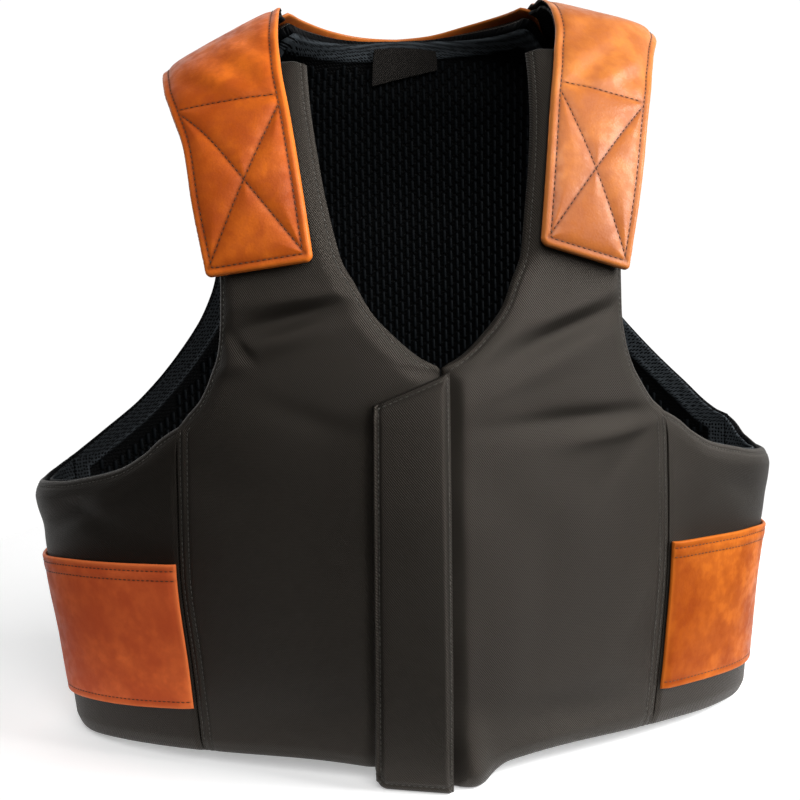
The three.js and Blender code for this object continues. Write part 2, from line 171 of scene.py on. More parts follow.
# Where cloth lies flat under another piece: how far it does so before the flap's free edge and beyond
# its other edges, and how far below a tab's end it begins to and does so fully
FLAP_COVER = (6.0, 4.0)
TAB_COVER = (14.0, 2.0)

# The pocket patches: the turn of their front edge from the seam and that of their back edge, their rows
# of stitches, and the rise of their folded top and the distances where it ends; and the yoke's rows
POCKET_TUCK = 0.2
POCKET_BACK = 106.0
POCKET_ROWS = (("high", 4.0), ("high", 10.0), ("low", 4.5))
POCKET_FOLD_RISE, POCKET_FOLD = 0.5, (9.0, 11.5)
YOKE_ROWS = (("first", 4.0), ("last", 4.0), ("low", 4.0), ("low", 9.0), ("high", 4.0))

# The tail of the left front panel's hem beside the flap: how far it stands out, where, how wide and high
TAIL = {RIGHT: 0.0, LEFT: 7.0}
TAIL_AT, TAIL_WIDTH, TAIL_HEIGHT = 19.0, 9.0, 50.0

# The straps: the share of their grid in front of the ridge, the steps in which they thin towards the
# ridge and lift on to the yoke, their least thickness, the border row and the column of the grid near
# it, and the tab's corners
STRAP_FRONT_SHARE = 0.75
STRAP_THINS = (-0.62, -0.12)
STRAP_LIFTS = (0.02, 0.24)
STRAP_LEAST = 1.2
STRAP_ROW, ROW_COLUMN = 4.6, 6
TAB_CORNER = 3.5

# Levels at the neck and at the arm of the tab's end and of the stitched box's top, and how far below
# that the cross ends
TAB_END = {RIGHT: (299.5, 292.0), LEFT: (305.0, 289.5)}
BOX_TOP = {RIGHT: (388.8, 381.2), LEFT: (394.0, 380.5)}
CROSS_DROP_NECK, CROSS_DROP_ARM = 6.0, 2.5

# The straps' quilting: how deep and wide a line draws the leather down, the same on the flat welt
# outside the border row, how far the welt lies below the rest, and the width of the painted shade along
# a line
QUILT, QUILT_REACH, QUILT_SOFT = 1.4, 2.8, 0.6
WELT_DENT, WELT_REACH, WELT_BAND, WELT_STEP = 0.5, 1.4, 1.2, 0.9
QUILT_SHADE_WIDTH = 0.9

# The straps' creases run out over this depth in front of the ridge
STRAP_CREASE_FADE = 16.0

# The lining: the lower edges of its sheets, and the strip of the strap that is lined, as shares
LINING_LOW = 15.0
SIDE_LINING_LOW = 2.0
STRAP_LINING_FROM, STRAP_LINING_TO, STRAP_LINING_REACH = 0.03, 0.92, 0.5

# The ribbed lining: bars in staggered columns, how far a bar is sunk into the sheet, how narrow it is
# on top and how much of that its ends take, and the numbers of ribs and bars
RIB_PITCH, RIB_WIDTH, RIB_RISE = 4.5, 2.7, 1.2
BAR_PITCH, BAR_LENGTH, BAR_STAGGER = 8.8, 7.9, 0.38
RIB_SUNK, RIB_TOP, BAR_TAPER = 0.3, 0.6, 0.35
BACK_RIBS, BACK_BARS, SIDE_BARS = 52, 52, 22

# The facing along the lining's open edges: its width, how far it lies below the ribs' tops, how soft
# its edge is, the piping on that edge, and how far the ribs stay from it
FACING, FACING_DROP, FACING_SOFT = 12.0, 0.3, 0.8
PIPING, PIPING_WIDTH = 0.8, 1.2
RIB_CLEAR = 1.0

# The facing is darker round the armholes than at the neck, and changes between two levels; round the
# armholes the same knit is painted darker on the right than on the left, as painted light and shade
ARMHOLE_PAINTED_LIGHT = {RIGHT: 0.35, LEFT: 0.85}
NECK_FACING = (390.0, 410.0)


def table(columns, *rows):
    """The rows of a table as one array for each named column."""
    return dict(zip(columns.split(), np.array(rows, float).T))


# The body form by level: half widths, where the widest line lies in depth, depth in front of it
# and behind it, and how wedge-like the front is (1 a wedge, 2 an oval)
FORM = table(
    "z right left middle front back wedge",
    (-40, 224, 218, 26, 128, 78, 1.0),
    (0, 228, 222, 26, 131, 80, 1.0),
    (60, 234, 227, 26, 135, 82, 1.05),
    (120, 241, 233, 27, 138, 84, 1.1),
    (170, 247, 239, 28, 140, 86, 1.2),
    (210, 247, 239, 27, 139, 86, 1.35),
    (260, 239, 234, 22, 132, 88, 1.55),
    (310, 221, 221, 15, 119, 92, 1.8),
    (350, 199, 203, 9, 103, 95, 2),
    (385, 172, 181, 3, 82, 95, 2),
    (410, 145, 162, 0, 65, 93, 2),
    (430, 110, 147, 0, 51, 91, 2),
    (447, 76, 88, 0, 38, 88, 2),
    (465, 46, 48, 0, 24, 84, 2),
    (500, 20, 20, 0, 14, 76, 2),
)

# The edge of a front panel along the closure and the neck
NECK_EDGE = table(
    "z x",
    (0, 0),
    (241, 0),
    (247, 10),
    (256, 21),
    (273, 36),
    (288, 43),
    (301, 49),
    (323, 53),
    (353, 57.5),
    (390, 61.5),
    (412, 62.5),
)

# The edge of a front panel along the side seam and the armhole
ARM_EDGE = table(
    "z right left",
    (0, 139, 136),
    (60, 142, 141),
    (120, 146, 144),
    (165, 144.5, 142),
    (209, 142, 138),
    (215, 138, 132.5),
    (224, 130, 126),
    (238, 123, 118),
    (252, 118, 113.5),
    (268, 116, 111),
    (292, 115, 110.5),
    (329, 118, 114),
    (360, 121, 115),
    (384, 126, 122),
    (412, 128, 127),
)

# The edge of the back panel along the armhole
BACK_EDGE = table(
    "z right left",
    (165, 246, 238),
    (172, 234, 236),
    (180, 222.5, 233),
    (184, 217, 228),
    (188, 211.5, 219.5),
    (207, 187, 200),
    (237, 160, 171.5),
    (265, 141, 148),
    (288, 132, 133),
    (320, 127, 128),
    (355, 128, 129),
    (385, 132, 132),
    (412, 136, 134),
)

# The armhole edge of a side panel from its front seam (0) to its back seam (1)
SIDE_TOP = table(
    "across right left",
    (0, 209, 209),
    (0.05, 200.5, 201.5),
    (0.09, 191.5, 193.5),
    (0.165, 181, 184),
    (0.275, 174, 177.5),
    (0.4, 169, 172),
    (0.72, 164, 167),
    (0.88, 167, 172),
    (0.95, 169.5, 179),
    (1, 172, 184),
)

# How far the hem stands off the floor by its turn round the body
HEM = table(
    "turn z",
    (0, 0),
    (18, 0.3),
    (25, 8),
    (36, 10),
    (50, 8),
    (68, 4),
    (84, 0),
    (180, 0),
)

# A shoulder strap from its front tab (-1) over the ridge of the shoulder (0) to the back (1)
STRAP_EDGES = table(
    "along neck_right arm_right neck_left arm_left",
    (-1, 61.5, 118.5, 59, 109.5),
    (-0.85, 66.5, 124.5, 64.5, 118),
    (-0.7, 71, 128.5, 70, 125.5),
    (-0.55, 75, 135.5, 75.5, 133),
    (-0.4, 76.5, 141, 79.5, 139.5),
    (-0.2, 76, 144.5, 80, 147.5),
    (0, 75, 146, 78.5, 150),
    (0.5, 73.5, 145, 77, 148),
    (1, 72.5, 142, 76, 144),
)

# The level of the leather line along the back of the neck by its distance from the middle
NECKLINE = table(
    "x right left",
    (0, 446, 446),
    (20, 446.3, 447),
    (45, 447.8, 450),
    (60, 449, 451),
    (78, 449.5, 451.5),
)

# The edges of a pocket patch from its front edge (0) to its back edge (1)
POCKET = table(
    "across bottom_right bottom_left top",
    (0, 38, 34, 128),
    (0.35, 31, 28.5, 123),
    (0.7, 26, 25.5, 117),
    (1, 26, 25.5, 117),
)

# Soft dents (depth below 0) and swells of the cloth: middle, direction, half length, half width
FOLDS = table(
    "x z angle length width depth",
    (-77, 269, 15, 34, 5.5, -4),
    (-74, 281, 7, 34, 5, 2.2),
    (-84, 258, 15, 30, 6, 1.8),
    (-103, 254, -49, 9, 3.5, -1.8),
    (-108, 244, 18, 11, 4, 1.6),
    (76, 259, 21, 36, 6, -4),
    (76, 271, 19, 34, 5.5, 2.2),
    (85, 209, 1, 44, 6, -3.2),
    (106, 200, 8, 27, 5, 2.2),
    (60, 238, 24, 30, 6, 1.2),
    (-60, 212, -20, 34, 7, -1.2),
    (112, 188, 48, 30, 6, -0.8),
    (-40, 120, 80, 60, 10, -0.8),
    (60, 110, 84, 70, 11, -0.8),
    (-70, 40, 8, 40, 12, -2),
    (80, 34, -6, 40, 12, -2),
    (-222, 148, 35, 22, 8, -4),
    (-200, 150, -20, 26, 7, -1.6),
    (-170, 172, 30, 20, 6, -1.2),
    (205, 150, -24, 26, 8, -1.4),
)

# Creases of a strap's leather above its tab, like the folds, with x out to either side
STRAP_CREASES = table(
    "x z angle length width depth",
    (98, 402, 35, 22, 6, -1.2),
    (112, 398, 30, 20, 5, 0.8),
    (90, 418, 40, 18, 6, -1.0),
    (125, 396, 20, 16, 5, -0.9),
)


def smooth(value, low, high):
    """0 below low, 1 above high, and an even rise between them."""
    t = np.clip((value - low) / (high - low), 0, 1)
    return t * t * (3 - 2 * t)


def lerp(a, b, t):
    """The value at a share of the way from one value to another."""
    return a + (b - a) * t


def bell(distance, width):
    """1 at no distance, falling off evenly on both sides."""
    return np.exp(-((distance / width) ** 2))


def crowd(count, share=1.0):
    """Steps from 0 to 1 that crowd towards both ends."""
    t = np.linspace(0, 1, count + 1)
    return lerp(t, 0.5 - 0.5 * np.cos(math.pi * t), share)


def steps(kind):
    """The steps from 0 to 1 from row to row and from column to column of a kind of piece."""
    grid = GRID[kind]
    return crowd(grid.rows, grid.row_crowd)[:, None], crowd(grid.columns, grid.column_crowd)


def curve(rows, key, column):
    """A smooth curve through a table's rows that never swings past them."""
    at, value = rows[key], rows[column]
    step = np.diff(at)
    slope = np.diff(value) / step
    lean = np.concatenate([slope[:1], np.zeros(len(slope) - 1), slope[-1:]])
    agree = np.flatnonzero(slope[:-1] * slope[1:] > 0)
    lean[agree + 1] = 2 * slope[agree] * slope[agree + 1] / (slope[agree] + slope[agree + 1])

    def value_at(a):
        x = np.clip(a, at[0], at[-1])
        i = np.clip(np.searchsorted(at, x) - 1, 0, len(step) - 1)
        t = (x - at[i]) / step[i]
        rise = value[i + 1] - value[i]
        first = lean[i] * step[i]
        last = lean[i + 1] * step[i]
        return value[i] + t * (first + t * (3 * rise - 2 * first - last + t * (first + last - 2 * rise)))

    return value_at


def pair(rows, key, right, left):
    """A pair of curves, one for each side of the vest."""
    right_curve, left_curve = curve(rows, key, right), curve(rows, key, left)
    return lambda a, side: np.where(np.asarray(side) < 0, right_curve(a), left_curve(a))


half = pair(FORM, "z", "right", "left")
middle = curve(FORM, "z", "middle")
front_depth = curve(FORM, "z", "front")
back_depth = curve(FORM, "z", "back")
front_wedge = curve(FORM, "z", "wedge")
neck_edge = curve(NECK_EDGE, "z", "x")
arm_edge = pair(ARM_EDGE, "z", "right", "left")
back_arm = pair(BACK_EDGE, "z", "right", "left")
side_top = pair(SIDE_TOP, "across", "right", "left")
hem = curve(HEM, "turn", "z")
strap_neck = pair(STRAP_EDGES, "along", "neck_right", "neck_left")
strap_arm = pair(STRAP_EDGES, "along", "arm_right", "arm_left")
neckline = pair(NECKLINE, "x", "right", "left")
pocket_bottom = pair(POCKET, "across", "bottom_right", "bottom_left")
pocket_top = curve(POCKET, "across", "top")

# The form above the foot of the shoulders, from its top down
above = FORM["z"] >= SHOULDER_FOOT
SHOULDERS = {name: column[above][::-1] for name, column in FORM.items()}
ridge_right = curve(SHOULDERS, "right", "z")
ridge_left = curve(SHOULDERS, "left", "z")


def ridge(x, side):
    """The level of the shoulder ridge at a distance from the middle."""
    return np.where(np.asarray(side) < 0, ridge_right(x), ridge_left(x))


def centre_of(behind):
    """The x of the centre line, in front or behind."""
    return np.where(behind, 0.0, CENTRE)


def wedge_of(z, behind):
    """How wedge-like the form is at a level, in front or behind."""
    return np.where(behind, BACK_WEDGE, front_wedge(z))


def depth_of(z, behind):
    """The depth from the widest line to the front or to the back."""
    return np.where(behind, back_depth(z), front_depth(z))


def share(x, z, behind):
    """How far a point is out to its side, 0 on the centre line and 1 on the widest line."""
    centre = centre_of(behind)
    side = np.where(x > centre, 1.0, -1.0)
    return side * (x - centre) / (half(z, side) - side * centre)


def turn_at(x, z, behind):
    """The turn round the body, in degrees, of a point at x."""
    out = np.clip(share(x, z, behind), 0, 1) ** (wedge_of(z, behind) / 2)
    turn = np.degrees(np.arcsin(out))
    return np.where(behind, 180 - turn, turn)


def level(x, y, z):
    """A value that is 0 on the form and grows outwards."""
    deep = y - middle(z)
    behind = deep > 0
    return share(x, z, behind) ** wedge_of(z, behind) + (deep / depth_of(z, behind)) ** 2 - 1


def outward(point):
    """The form's outward direction, level near the floor and straight ahead at the closure."""
    x, y, z = np.moveaxis(point, -1, 0)
    tiny = 0.05
    across = level(x + tiny, y, z) - level(x - tiny, y, z)
    deep = level(x, y + tiny, z) - level(x, y - tiny, z)
    up = (level(x, y, z + tiny) - level(x, y, z - tiny)) * smooth(z, 0, LEVEL_BAND)
    at_closure = (y < middle(z)) * (1 - smooth(np.abs(x - CENTRE), 0, CENTRE_BAND))
    normal = np.stack([across * (1 - at_closure), deep, up], -1)
    return normal / np.linalg.norm(normal, axis=-1, keepdims=True)


def on_form(x, z, behind):
    """Points on the form at x and z, on the front or behind."""
    x, z = np.broadcast_arrays(x, z)
    out = np.clip(share(x, z, behind), 0, 1) ** wedge_of(z, behind)
    deep = depth_of(z, behind) * np.sqrt(1 - out)
    return np.stack([x, middle(z) + np.where(behind, deep, -deep), z], -1)


def on_turn(turn, z, side):
    """Points on the form at a turn round the body."""
    turn, z = np.broadcast_arrays(turn, z)
    behind = turn > 90
    centre = centre_of(behind)
    out = np.sin(np.radians(turn)) ** (2 / wedge_of(z, behind))
    x = centre + side * (half(z, side) - side * centre) * out
    y = middle(z) - depth_of(z, behind) * np.cos(np.radians(turn))
    return np.stack([x, y, z], -1)


def relief(folds, x, z):
    """The rise at x and z that a table of dents and swells adds up to."""
    rise = np.zeros_like(x)
    for i, turn in enumerate(np.radians(folds["angle"])):
        across, up = x - folds["x"][i], z - folds["z"][i]
        along = across * math.cos(turn) + up * math.sin(turn)
        aside = up * math.cos(turn) - across * math.sin(turn)
        spread = (along / folds["length"][i]) ** 2 + (aside / folds["width"][i]) ** 2
        rise += folds["depth"][i] * np.exp(-spread)
    return rise


def fold_rise(point):
    """The rise of the cloth from its folds; behind, the cloth is smooth."""
    x, y, z = np.moveaxis(point, -1, 0)
    return np.where(y < middle(z), relief(FOLDS, x, z), 0.0)


def strap_rise(point, side):
    """The creases of a strap's leather between its tab and the shoulder."""
    x, y, z = np.moveaxis(point, -1, 0)
    return relief(STRAP_CREASES, side * x, z) * smooth(middle(z) - y, 0, STRAP_CREASE_FADE)


def unevenness(point):
    """The slight, irregular swell of foam under cloth."""
    x, y, z = np.moveaxis(point, -1, 0)
    around = x + 0.6 * y
    waves = np.sin(around / 16 + 1.3 * np.sin(z / 27)) * np.sin(z / 19 + 1.1 * np.sin(around / 31))
    return SWELL * waves


# The place of the form's own origin in the shared frame
FORM_PLACE = np.array([4.014, 2.041, 0.0])


def placed(point):
    """Points of the form in the shared frame, in metres."""
    return (point + FORM_PLACE) * MM


# Grids and meshes


def lengths(point, axis):
    """The length along a grid's rows or columns from their first point."""
    step = np.linalg.norm(np.diff(point, axis=axis), axis=-1)
    start = np.zeros_like(np.take(step, [0], axis=axis))
    return np.concatenate([start, np.cumsum(step, axis=axis)], axis=axis)


def from_line(point, line):
    """The distance of each point of a grid from a line through points."""
    along = lengths(line, 0)
    spacing = 0.4
    fine = np.linspace(0, along[-1], int(along[-1] / spacing) + 2)
    line = np.stack([np.interp(fine, along, line[:, k]) for k in range(3)], -1)
    tree = KDTree(len(line))
    for i, spot in enumerate(line):
        tree.insert(spot, i)
    tree.balance()
    near = [tree.find(spot)[2] for spot in point.reshape(-1, 3)]
    return np.array(near).reshape(point.shape[:2])


def edges_of(point):
    """The distance of each grid point from each of the grid's four edges."""
    edges = {
        "low": from_line(point, point[0]),
        "high": from_line(point, point[-1]),
        "first": from_line(point, point[:, 0]),
        "last": from_line(point, point[:, -1]),
    }
    edges["low"][0] = edges["high"][-1] = 0
    edges["first"][:, 0] = edges["last"][:, -1] = 0
    return edges


def nearest(edges):
    """The distance of each grid point from the nearest edge."""
    return np.min(list(edges.values()), axis=0)


def dome(distance, radius):
    """The share of full thickness at a distance inside a rounded edge."""
    return np.sqrt(1 - (1 - np.clip(distance / radius, 0, 1)) ** 2)


def dent(distance, row):
    """The dent that a row of stitches draws at a distance from an edge."""
    return DENT * bell(distance - row, DENT_WIDTH)


def padding(edges, kinds):
    """How far padding is drawn in at its edges, its stitches' dents, and its share of full thickness.

    kinds lists an edge's name, its kind and the weight of that kind over the grid.
    """
    pinch, drawn, solid = 0.0, 0.0, 1.0
    for name, kind, weight in kinds:
        distance = edges[name]
        pinch = np.maximum(pinch, weight * kind.pinch * (1 - smooth(distance, 0, kind.band)))
        drawn = drawn + sum(weight * dent(distance, row) for row in kind.rows)
        solid = np.minimum(solid, 1 - weight * (1 - dome(distance, kind.round)))
    return pinch, drawn, solid


Surface = namedtuple("Surface", "piece top normal edges")


def mesh_piece(name, points, faces, materials, face_material=None):
    """A closed mesh, facing outwards; all faces have the same number of corners."""
    at = points[faces]
    corners = faces.shape[1]
    if sum((at[:, 0] * np.cross(at[:, k], at[:, k + 1])).sum() for k in range(1, corners - 1)) < 0:
        faces = faces[:, ::-1]
    mesh = bpy.data.meshes.new(name)
    mesh.vertices.add(len(points))
    mesh.vertices.foreach_set("co", placed(points).astype(np.float32).ravel())
    mesh.loops.add(faces.size)
    mesh.loops.foreach_set("vertex_index", faces.astype(np.int32).ravel())
    mesh.polygons.add(len(faces))
    mesh.polygons.foreach_set("loop_start", np.arange(0, faces.size, corners, dtype=np.int32))
    mesh.polygons.foreach_set("use_smooth", np.ones(len(faces), bool))
    for material in materials:
        mesh.materials.append(material)
    if face_material is not None:
        mesh.polygons.foreach_set("material_index", face_material.astype(np.int32))
    mesh.update(calc_edges=True)
    mesh.validate()
    piece = bpy.data.objects.new(name, mesh)
    bpy.context.scene.collection.objects.link(piece)
    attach(piece, "root")
    return piece


def add_field(piece, name, values):
    """Values at a mesh's points that its material reads: numbers, or vectors."""
    kind, key = ("FLOAT", "value") if values.ndim == 1 else ("FLOAT_VECTOR", "vector")
    field = piece.data.attributes.new(name, kind, "POINT")
    field.data.foreach_set(key, values.astype(np.float32).ravel())


def closed_sheet(name, materials, point, heights, edges, mark, weave=None):
    """A closed sheet over a grid of form points; its two faces meet at the rim.

    heights are those of the inner and outer faces along the normals. mark is a mask that the
    material reads, and weave the flat places on the cloth, worked out from the grid if not given.
    """
    normal = outward(point)
    inner = point + normal * heights[0][..., None]
    outer = point + normal * heights[1][..., None]
    rows, columns = point.shape[:2]
    rim = np.ones((rows, columns), bool)
    rim[1:-1, 1:-1] = False
    top = np.arange(rows * columns).reshape(rows, columns)
    low = np.where(rim, top, rows * columns + np.cumsum(~rim).reshape(rows, columns) - 1)
    # At two corners a cell is split the other way, so that the two faces share no triangle there
    turned = np.zeros((rows - 1, columns - 1), bool)
    turned[0, -1] = turned[-1, 0] = True

    def triangles(at):
        """Two triangles for each cell of a grid of point numbers."""
        a, b, c, d = at[:-1, :-1], at[:-1, 1:], at[1:, 1:], at[1:, :-1]
        first = np.stack([a, b, np.where(turned, d, c)], -1)
        second = np.stack([np.where(turned, b, a), c, d], -1)
        return np.concatenate([first.reshape(-1, 3), second.reshape(-1, 3)])

    faces = np.concatenate([triangles(top), triangles(low)[:, ::-1]])
    points = np.concatenate([outer.reshape(-1, 3), inner[~rim]])
    which = np.repeat([0, len(materials) - 1], len(faces) // 2)
    piece = mesh_piece(name, points, faces, materials, which)
    if weave is None:
        weave = np.stack([lengths(point, 1), point[..., 2], 0 * point[..., 2]], -1)
    for label, grid in (("edge", nearest(edges)), ("mark", mark), ("weave", weave)):
        add_field(piece, label, np.concatenate([grid.reshape(-1, *grid.shape[2:]), grid[~rim]]))
    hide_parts(name)
    return Surface(piece, outer, normal, edges)


def closed_up(low, top, solid):
    """The inner and outer heights of a sheet whose faces close up where solid falls to 0."""
    mid = (low + top) / 2
    return lerp(mid, low, solid), lerp(mid, top, solid)


# Stitching


def at_index(grid, place):
    """A grid's values between its points, at fractional rows and columns."""
    i, j = place[:, 0], place[:, 1]
    i0 = np.clip(np.floor(i).astype(int), 0, grid.shape[0] - 2)
    j0 = np.clip(np.floor(j).astype(int), 0, grid.shape[1] - 2)
    s, t = (i - i0)[:, None], (j - j0)[:, None]
    low = lerp(grid[i0, j0], grid[i0, j0 + 1], t)
    high = lerp(grid[i0 + 1, j0], grid[i0 + 1, j0 + 1], t)
    return lerp(low, high, s)


def row_path(surface, edge, distance, keep=None):
    """The grid places at a distance from one of a surface's edges, where keep is true."""
    lengthwise = edge in ("first", "last")
    field = surface.edges[edge] if lengthwise else surface.edges[edge].T
    if edge in ("last", "high"):
        field = field[:, ::-1]
    count = field.shape[1]
    keep = np.ones(len(field), bool) if keep is None else keep
    path = []
    for i in np.flatnonzero(keep):
        stop = int(np.argmax(field[i] > distance))
        if stop:
            near, far = field[i, stop - 1], field[i, stop]
            path.append((i, stop - 1 + (distance - near) / (far - near)))
    path = np.array(path, float).reshape(-1, 2)
    if edge in ("last", "high"):
        path[:, 1] = count - 1 - path[:, 1]
    return path if lengthwise else path[:, ::-1]


Thread = namedtuple("Thread", "starts ends normals")


def sew(thread, surface, path):
    """Adds a row of stitches along a path of grid places."""
    if len(path) < 2:
        return
    line = at_index(surface.top, path)
    facing = at_index(surface.normal, path)
    along = lengths(line, 0)
    middles = np.arange(STITCH_PITCH, along[-1] - STITCH_PITCH / 2, STITCH_PITCH)

    def spot(values, at):
        return np.stack([np.interp(at, along, values[:, k]) for k in range(3)], -1)

    thread.starts.append(spot(line, middles - STITCH_LENGTH / 2))
    thread.ends.append(spot(line, middles + STITCH_LENGTH / 2))
    thread.normals.append(spot(facing, middles))


def thread_piece(name, thread, material):
    """All stitches of one thread as one mesh of small closed spindles."""
    start, end, up = (np.concatenate(part) for part in thread)
    up = up / np.linalg.norm(up, axis=1, keepdims=True)
    along = end - start
    aside = np.cross(up, along / np.linalg.norm(along, axis=1, keepdims=True))
    sides = 6
    rings = ((0.12, 0.75, 0.1), (0.5, 1.0, 0.35), (0.88, 0.75, 0.1))
    points = [start - up * STITCH_RADIUS * 0.4]
    for at, size, lift in rings:
        centre = start + along * at + up * STITCH_RADIUS * lift
        for k in range(sides):
            turn = k * 2 * math.pi / sides
            round_it = aside * math.cos(turn) + up * math.sin(turn) * 0.8
            points.append(centre + round_it * STITCH_RADIUS * size)
    points.append(end - up * STITCH_RADIUS * 0.4)
    last_ring = 1 + (len(rings) - 1) * sides
    faces = []
    for k in range(sides):
        following = (k + 1) % sides
        faces.append((0, 1 + following, 1 + k))
        for a in range(1, last_ring, sides):
            b = a + sides
            faces.append((a + k, a + following, b + following))
            faces.append((a + k, b + following, b + k))
        faces.append((len(points) - 1, last_ring + k, last_ring + following))
    each = len(points)
    faces = np.array(faces)[None] + np.arange(len(start))[:, None, None] * each
    piece = mesh_piece(name, np.stack(points, 1).reshape(-1, 3), faces.reshape(-1, 3), [material])


# Materials


class Nodes:
    """Short calls for building a tree of shader nodes.

    A value is a number, a colour or another node's output.
    """

    def __init__(self, tree):
        self.tree = tree

    def add(self, kind, **settings):
        """A new node with its settings."""
        node = self.tree.nodes.new(kind)
        for name, value in settings.items():
            setattr(node, name, value)
        return node

    def put(self, socket, value):
        """Links an output to a socket, or sets its value."""
        if isinstance(value, bpy.types.NodeSocket):
            self.tree.links.new(value, socket)
        else:
            socket.default_value = value

    def maths(self, operation, *values):
        """The result of one sum."""
        node = self.add("ShaderNodeMath", operation=operation)
        for socket, value in zip(node.inputs, values):
            self.put(socket, value)
        return node.outputs[0]

    def noise(self, place, scale, detail, roughness=0.55):
        """Soft noise from 0 to 1."""
        node = self.add("ShaderNodeTexNoise")
        values = {"Vector": place, "Scale": scale, "Detail": detail, "Roughness": roughness}
        for name, value in values.items():
            self.put(node.inputs[name], value)
        return node.outputs["Fac"]

    def span(self, value, low, high, to_low=0.0, to_high=1.0):
        """A value's smooth rise between two limits, on another span."""
        node = self.add("ShaderNodeMapRange", interpolation_type="SMOOTHSTEP")
        for socket, number in zip(node.inputs, (value, low, high, to_low, to_high)):
            self.put(socket, number)
        return node.outputs[0]

    def blend(self, factor, a, b):
        """A mix of two colours."""
        node = self.add("ShaderNodeMix", data_type="RGBA")
        colours = [socket for socket in node.inputs if socket.type == "RGBA"]
        for socket, value in zip([node.inputs[0]] + colours, (factor, a, b)):
            self.put(socket, value)
        return next(socket for socket in node.outputs if socket.type == "RGBA")

    def bump(self, height, distance, strength):
        """The normal of a small relief."""
        node = self.add("ShaderNodeBump")
        values = {"Height": height, "Distance": distance, "Strength": strength}
        for name, value in values.items():
            self.put(node.inputs[name], value)
        return node.outputs["Normal"]

    def use(self, group, **values):
        """The outputs of a node group with its inputs set."""
        node = self.add("ShaderNodeGroup", node_tree=group)
        for name, value in values.items():
            self.put(node.inputs[name], value)
        return node.outputs

    def field(self, name):
        """The outputs that read a field of the mesh."""
        return self.add("ShaderNodeAttribute", attribute_name=name).outputs

    def place(self):
        """The place on the piece, in metres."""
        return self.add("ShaderNodeTexCoord").outputs["Object"]


NUMBER = "NodeSocketFloat"


def effect(name, inputs, outputs):
    """An empty shader node group with named number inputs and outputs, and calls to fill it."""
    group = bpy.data.node_groups.new(name, "ShaderNodeTree")
    for label, value in inputs.items():
        group.interface.new_socket(label, in_out="INPUT", socket_type=NUMBER).default_value = value
    for label in outputs:
        group.interface.new_socket(label, in_out="OUTPUT", socket_type=NUMBER)
    nodes = Nodes(group)
    return group, nodes, nodes.add("NodeGroupInput").outputs, nodes.add("NodeGroupOutput").inputs


def twill_weave():
    """Diagonal twill lines, broken by the crossing yarns."""
    group, nodes, given, out = effect("twill weave", {"Pitch": 1.5}, ("Height", "Lines"))
    place = nodes.add("ShaderNodeSeparateXYZ")
    nodes.put(place.inputs[0], nodes.field("weave")["Vector"])
    across, up = place.outputs[0], place.outputs[1]
    turn = nodes.maths("DIVIDE", 2 * math.pi, given["Pitch"])
    slant = nodes.maths("MULTIPLY_ADD", up, 0.8, across)
    cross = nodes.maths("MULTIPLY_ADD", up, -1.3, across)
    lines = nodes.maths("SINE", nodes.maths("MULTIPLY", slant, turn))
    yarns = nodes.maths("SINE", nodes.maths("MULTIPLY", nodes.maths("MULTIPLY", cross, turn), 0.9))
    both = nodes.maths("MULTIPLY_ADD", yarns, 0.55, lines)
    nodes.put(out["Height"], nodes.maths("MULTIPLY_ADD", both, 0.32, 0.5))
    nodes.put(out["Lines"], nodes.span(both, -0.3, 1.3))
    return group


def mottling():
    """Soft blotches and fine specks, from 0 to 1."""
    inputs = {"Scale": 20.0, "Fine": 120.0, "Contrast": 0.25}
    group, nodes, given, out = effect("mottling", inputs, ("Blotches", "Specks"))
    place = nodes.place()
    low = nodes.maths("SUBTRACT", 0.5, given["Contrast"])
    high = nodes.maths("ADD", 0.5, given["Contrast"])
    nodes.put(out["Blotches"], nodes.span(nodes.noise(place, given["Scale"], 3.0), low, high))
    nodes.put(out["Specks"], nodes.span(nodes.noise(place, given["Fine"], 4.0), low, high))
    return group


def sewn_shape():
    """Masks from a piece's own shape: near its edges, and where stitches draw it down."""
    group, nodes, given, out = effect("sewn shape", {"Reach": 4.0}, ("Edge", "Drawn"))
    far = nodes.span(nodes.field("edge")["Fac"], 0.0, given["Reach"])
    nodes.put(out["Edge"], nodes.maths("SUBTRACT", 1.0, far))
    nodes.put(out["Drawn"], nodes.span(nodes.field("mark")["Fac"], 0.0, 1.0))
    return group


def hide_grain():
    """The pebbled grain of leather, with fine creases."""
    group, nodes, given, out = effect("hide grain", {"Scale": 700.0}, ("Height",))
    place = nodes.place()
    cells = nodes.add("ShaderNodeTexVoronoi", feature="SMOOTH_F1")
    nodes.put(cells.inputs["Vector"], place)
    nodes.put(cells.inputs["Scale"], given["Scale"])
    creases = nodes.noise(place, nodes.maths("MULTIPLY", given["Scale"], 0.2), 6.0, 0.65)
    nodes.put(out["Height"], nodes.maths("MULTIPLY_ADD", cells.outputs["Distance"], 0.4, creases))
    return group


def knit_holes():
    """Small round holes in a close net, as in a spacer knit."""
    group, nodes, given, out = effect("knit holes", {"Scale": 0.4}, ("Height", "Holes"))
    cells = nodes.add("ShaderNodeTexVoronoi", voronoi_dimensions="2D")
    nodes.put(cells.inputs["Vector"], nodes.field("weave")["Vector"])
    nodes.put(cells.inputs["Scale"], given["Scale"])
    nodes.put(cells.inputs["Randomness"], 0.35)
    solid = nodes.span(cells.outputs["Distance"], 0.2, 0.42)
    nodes.put(out["Height"], solid)
    nodes.put(out["Holes"], nodes.maths("SUBTRACT", 1.0, solid))
    return group


TWILL_WEAVE = twill_weave()
MOTTLING = mottling()
SEWN_SHAPE = sewn_shape()
HIDE_GRAIN = hide_grain()
KNIT_HOLES = knit_holes()


def finish_of(name, roughness, shine):
    """A new material: its nodes and the inputs of its shader."""
    material = bpy.data.materials.new(name)
    material.use_nodes = True
    shader = material.node_tree.nodes["Principled BSDF"].inputs
    shader["Roughness"].default_value = roughness
    shader["Specular IOR Level"].default_value = shine
    return material, Nodes(material.node_tree), shader
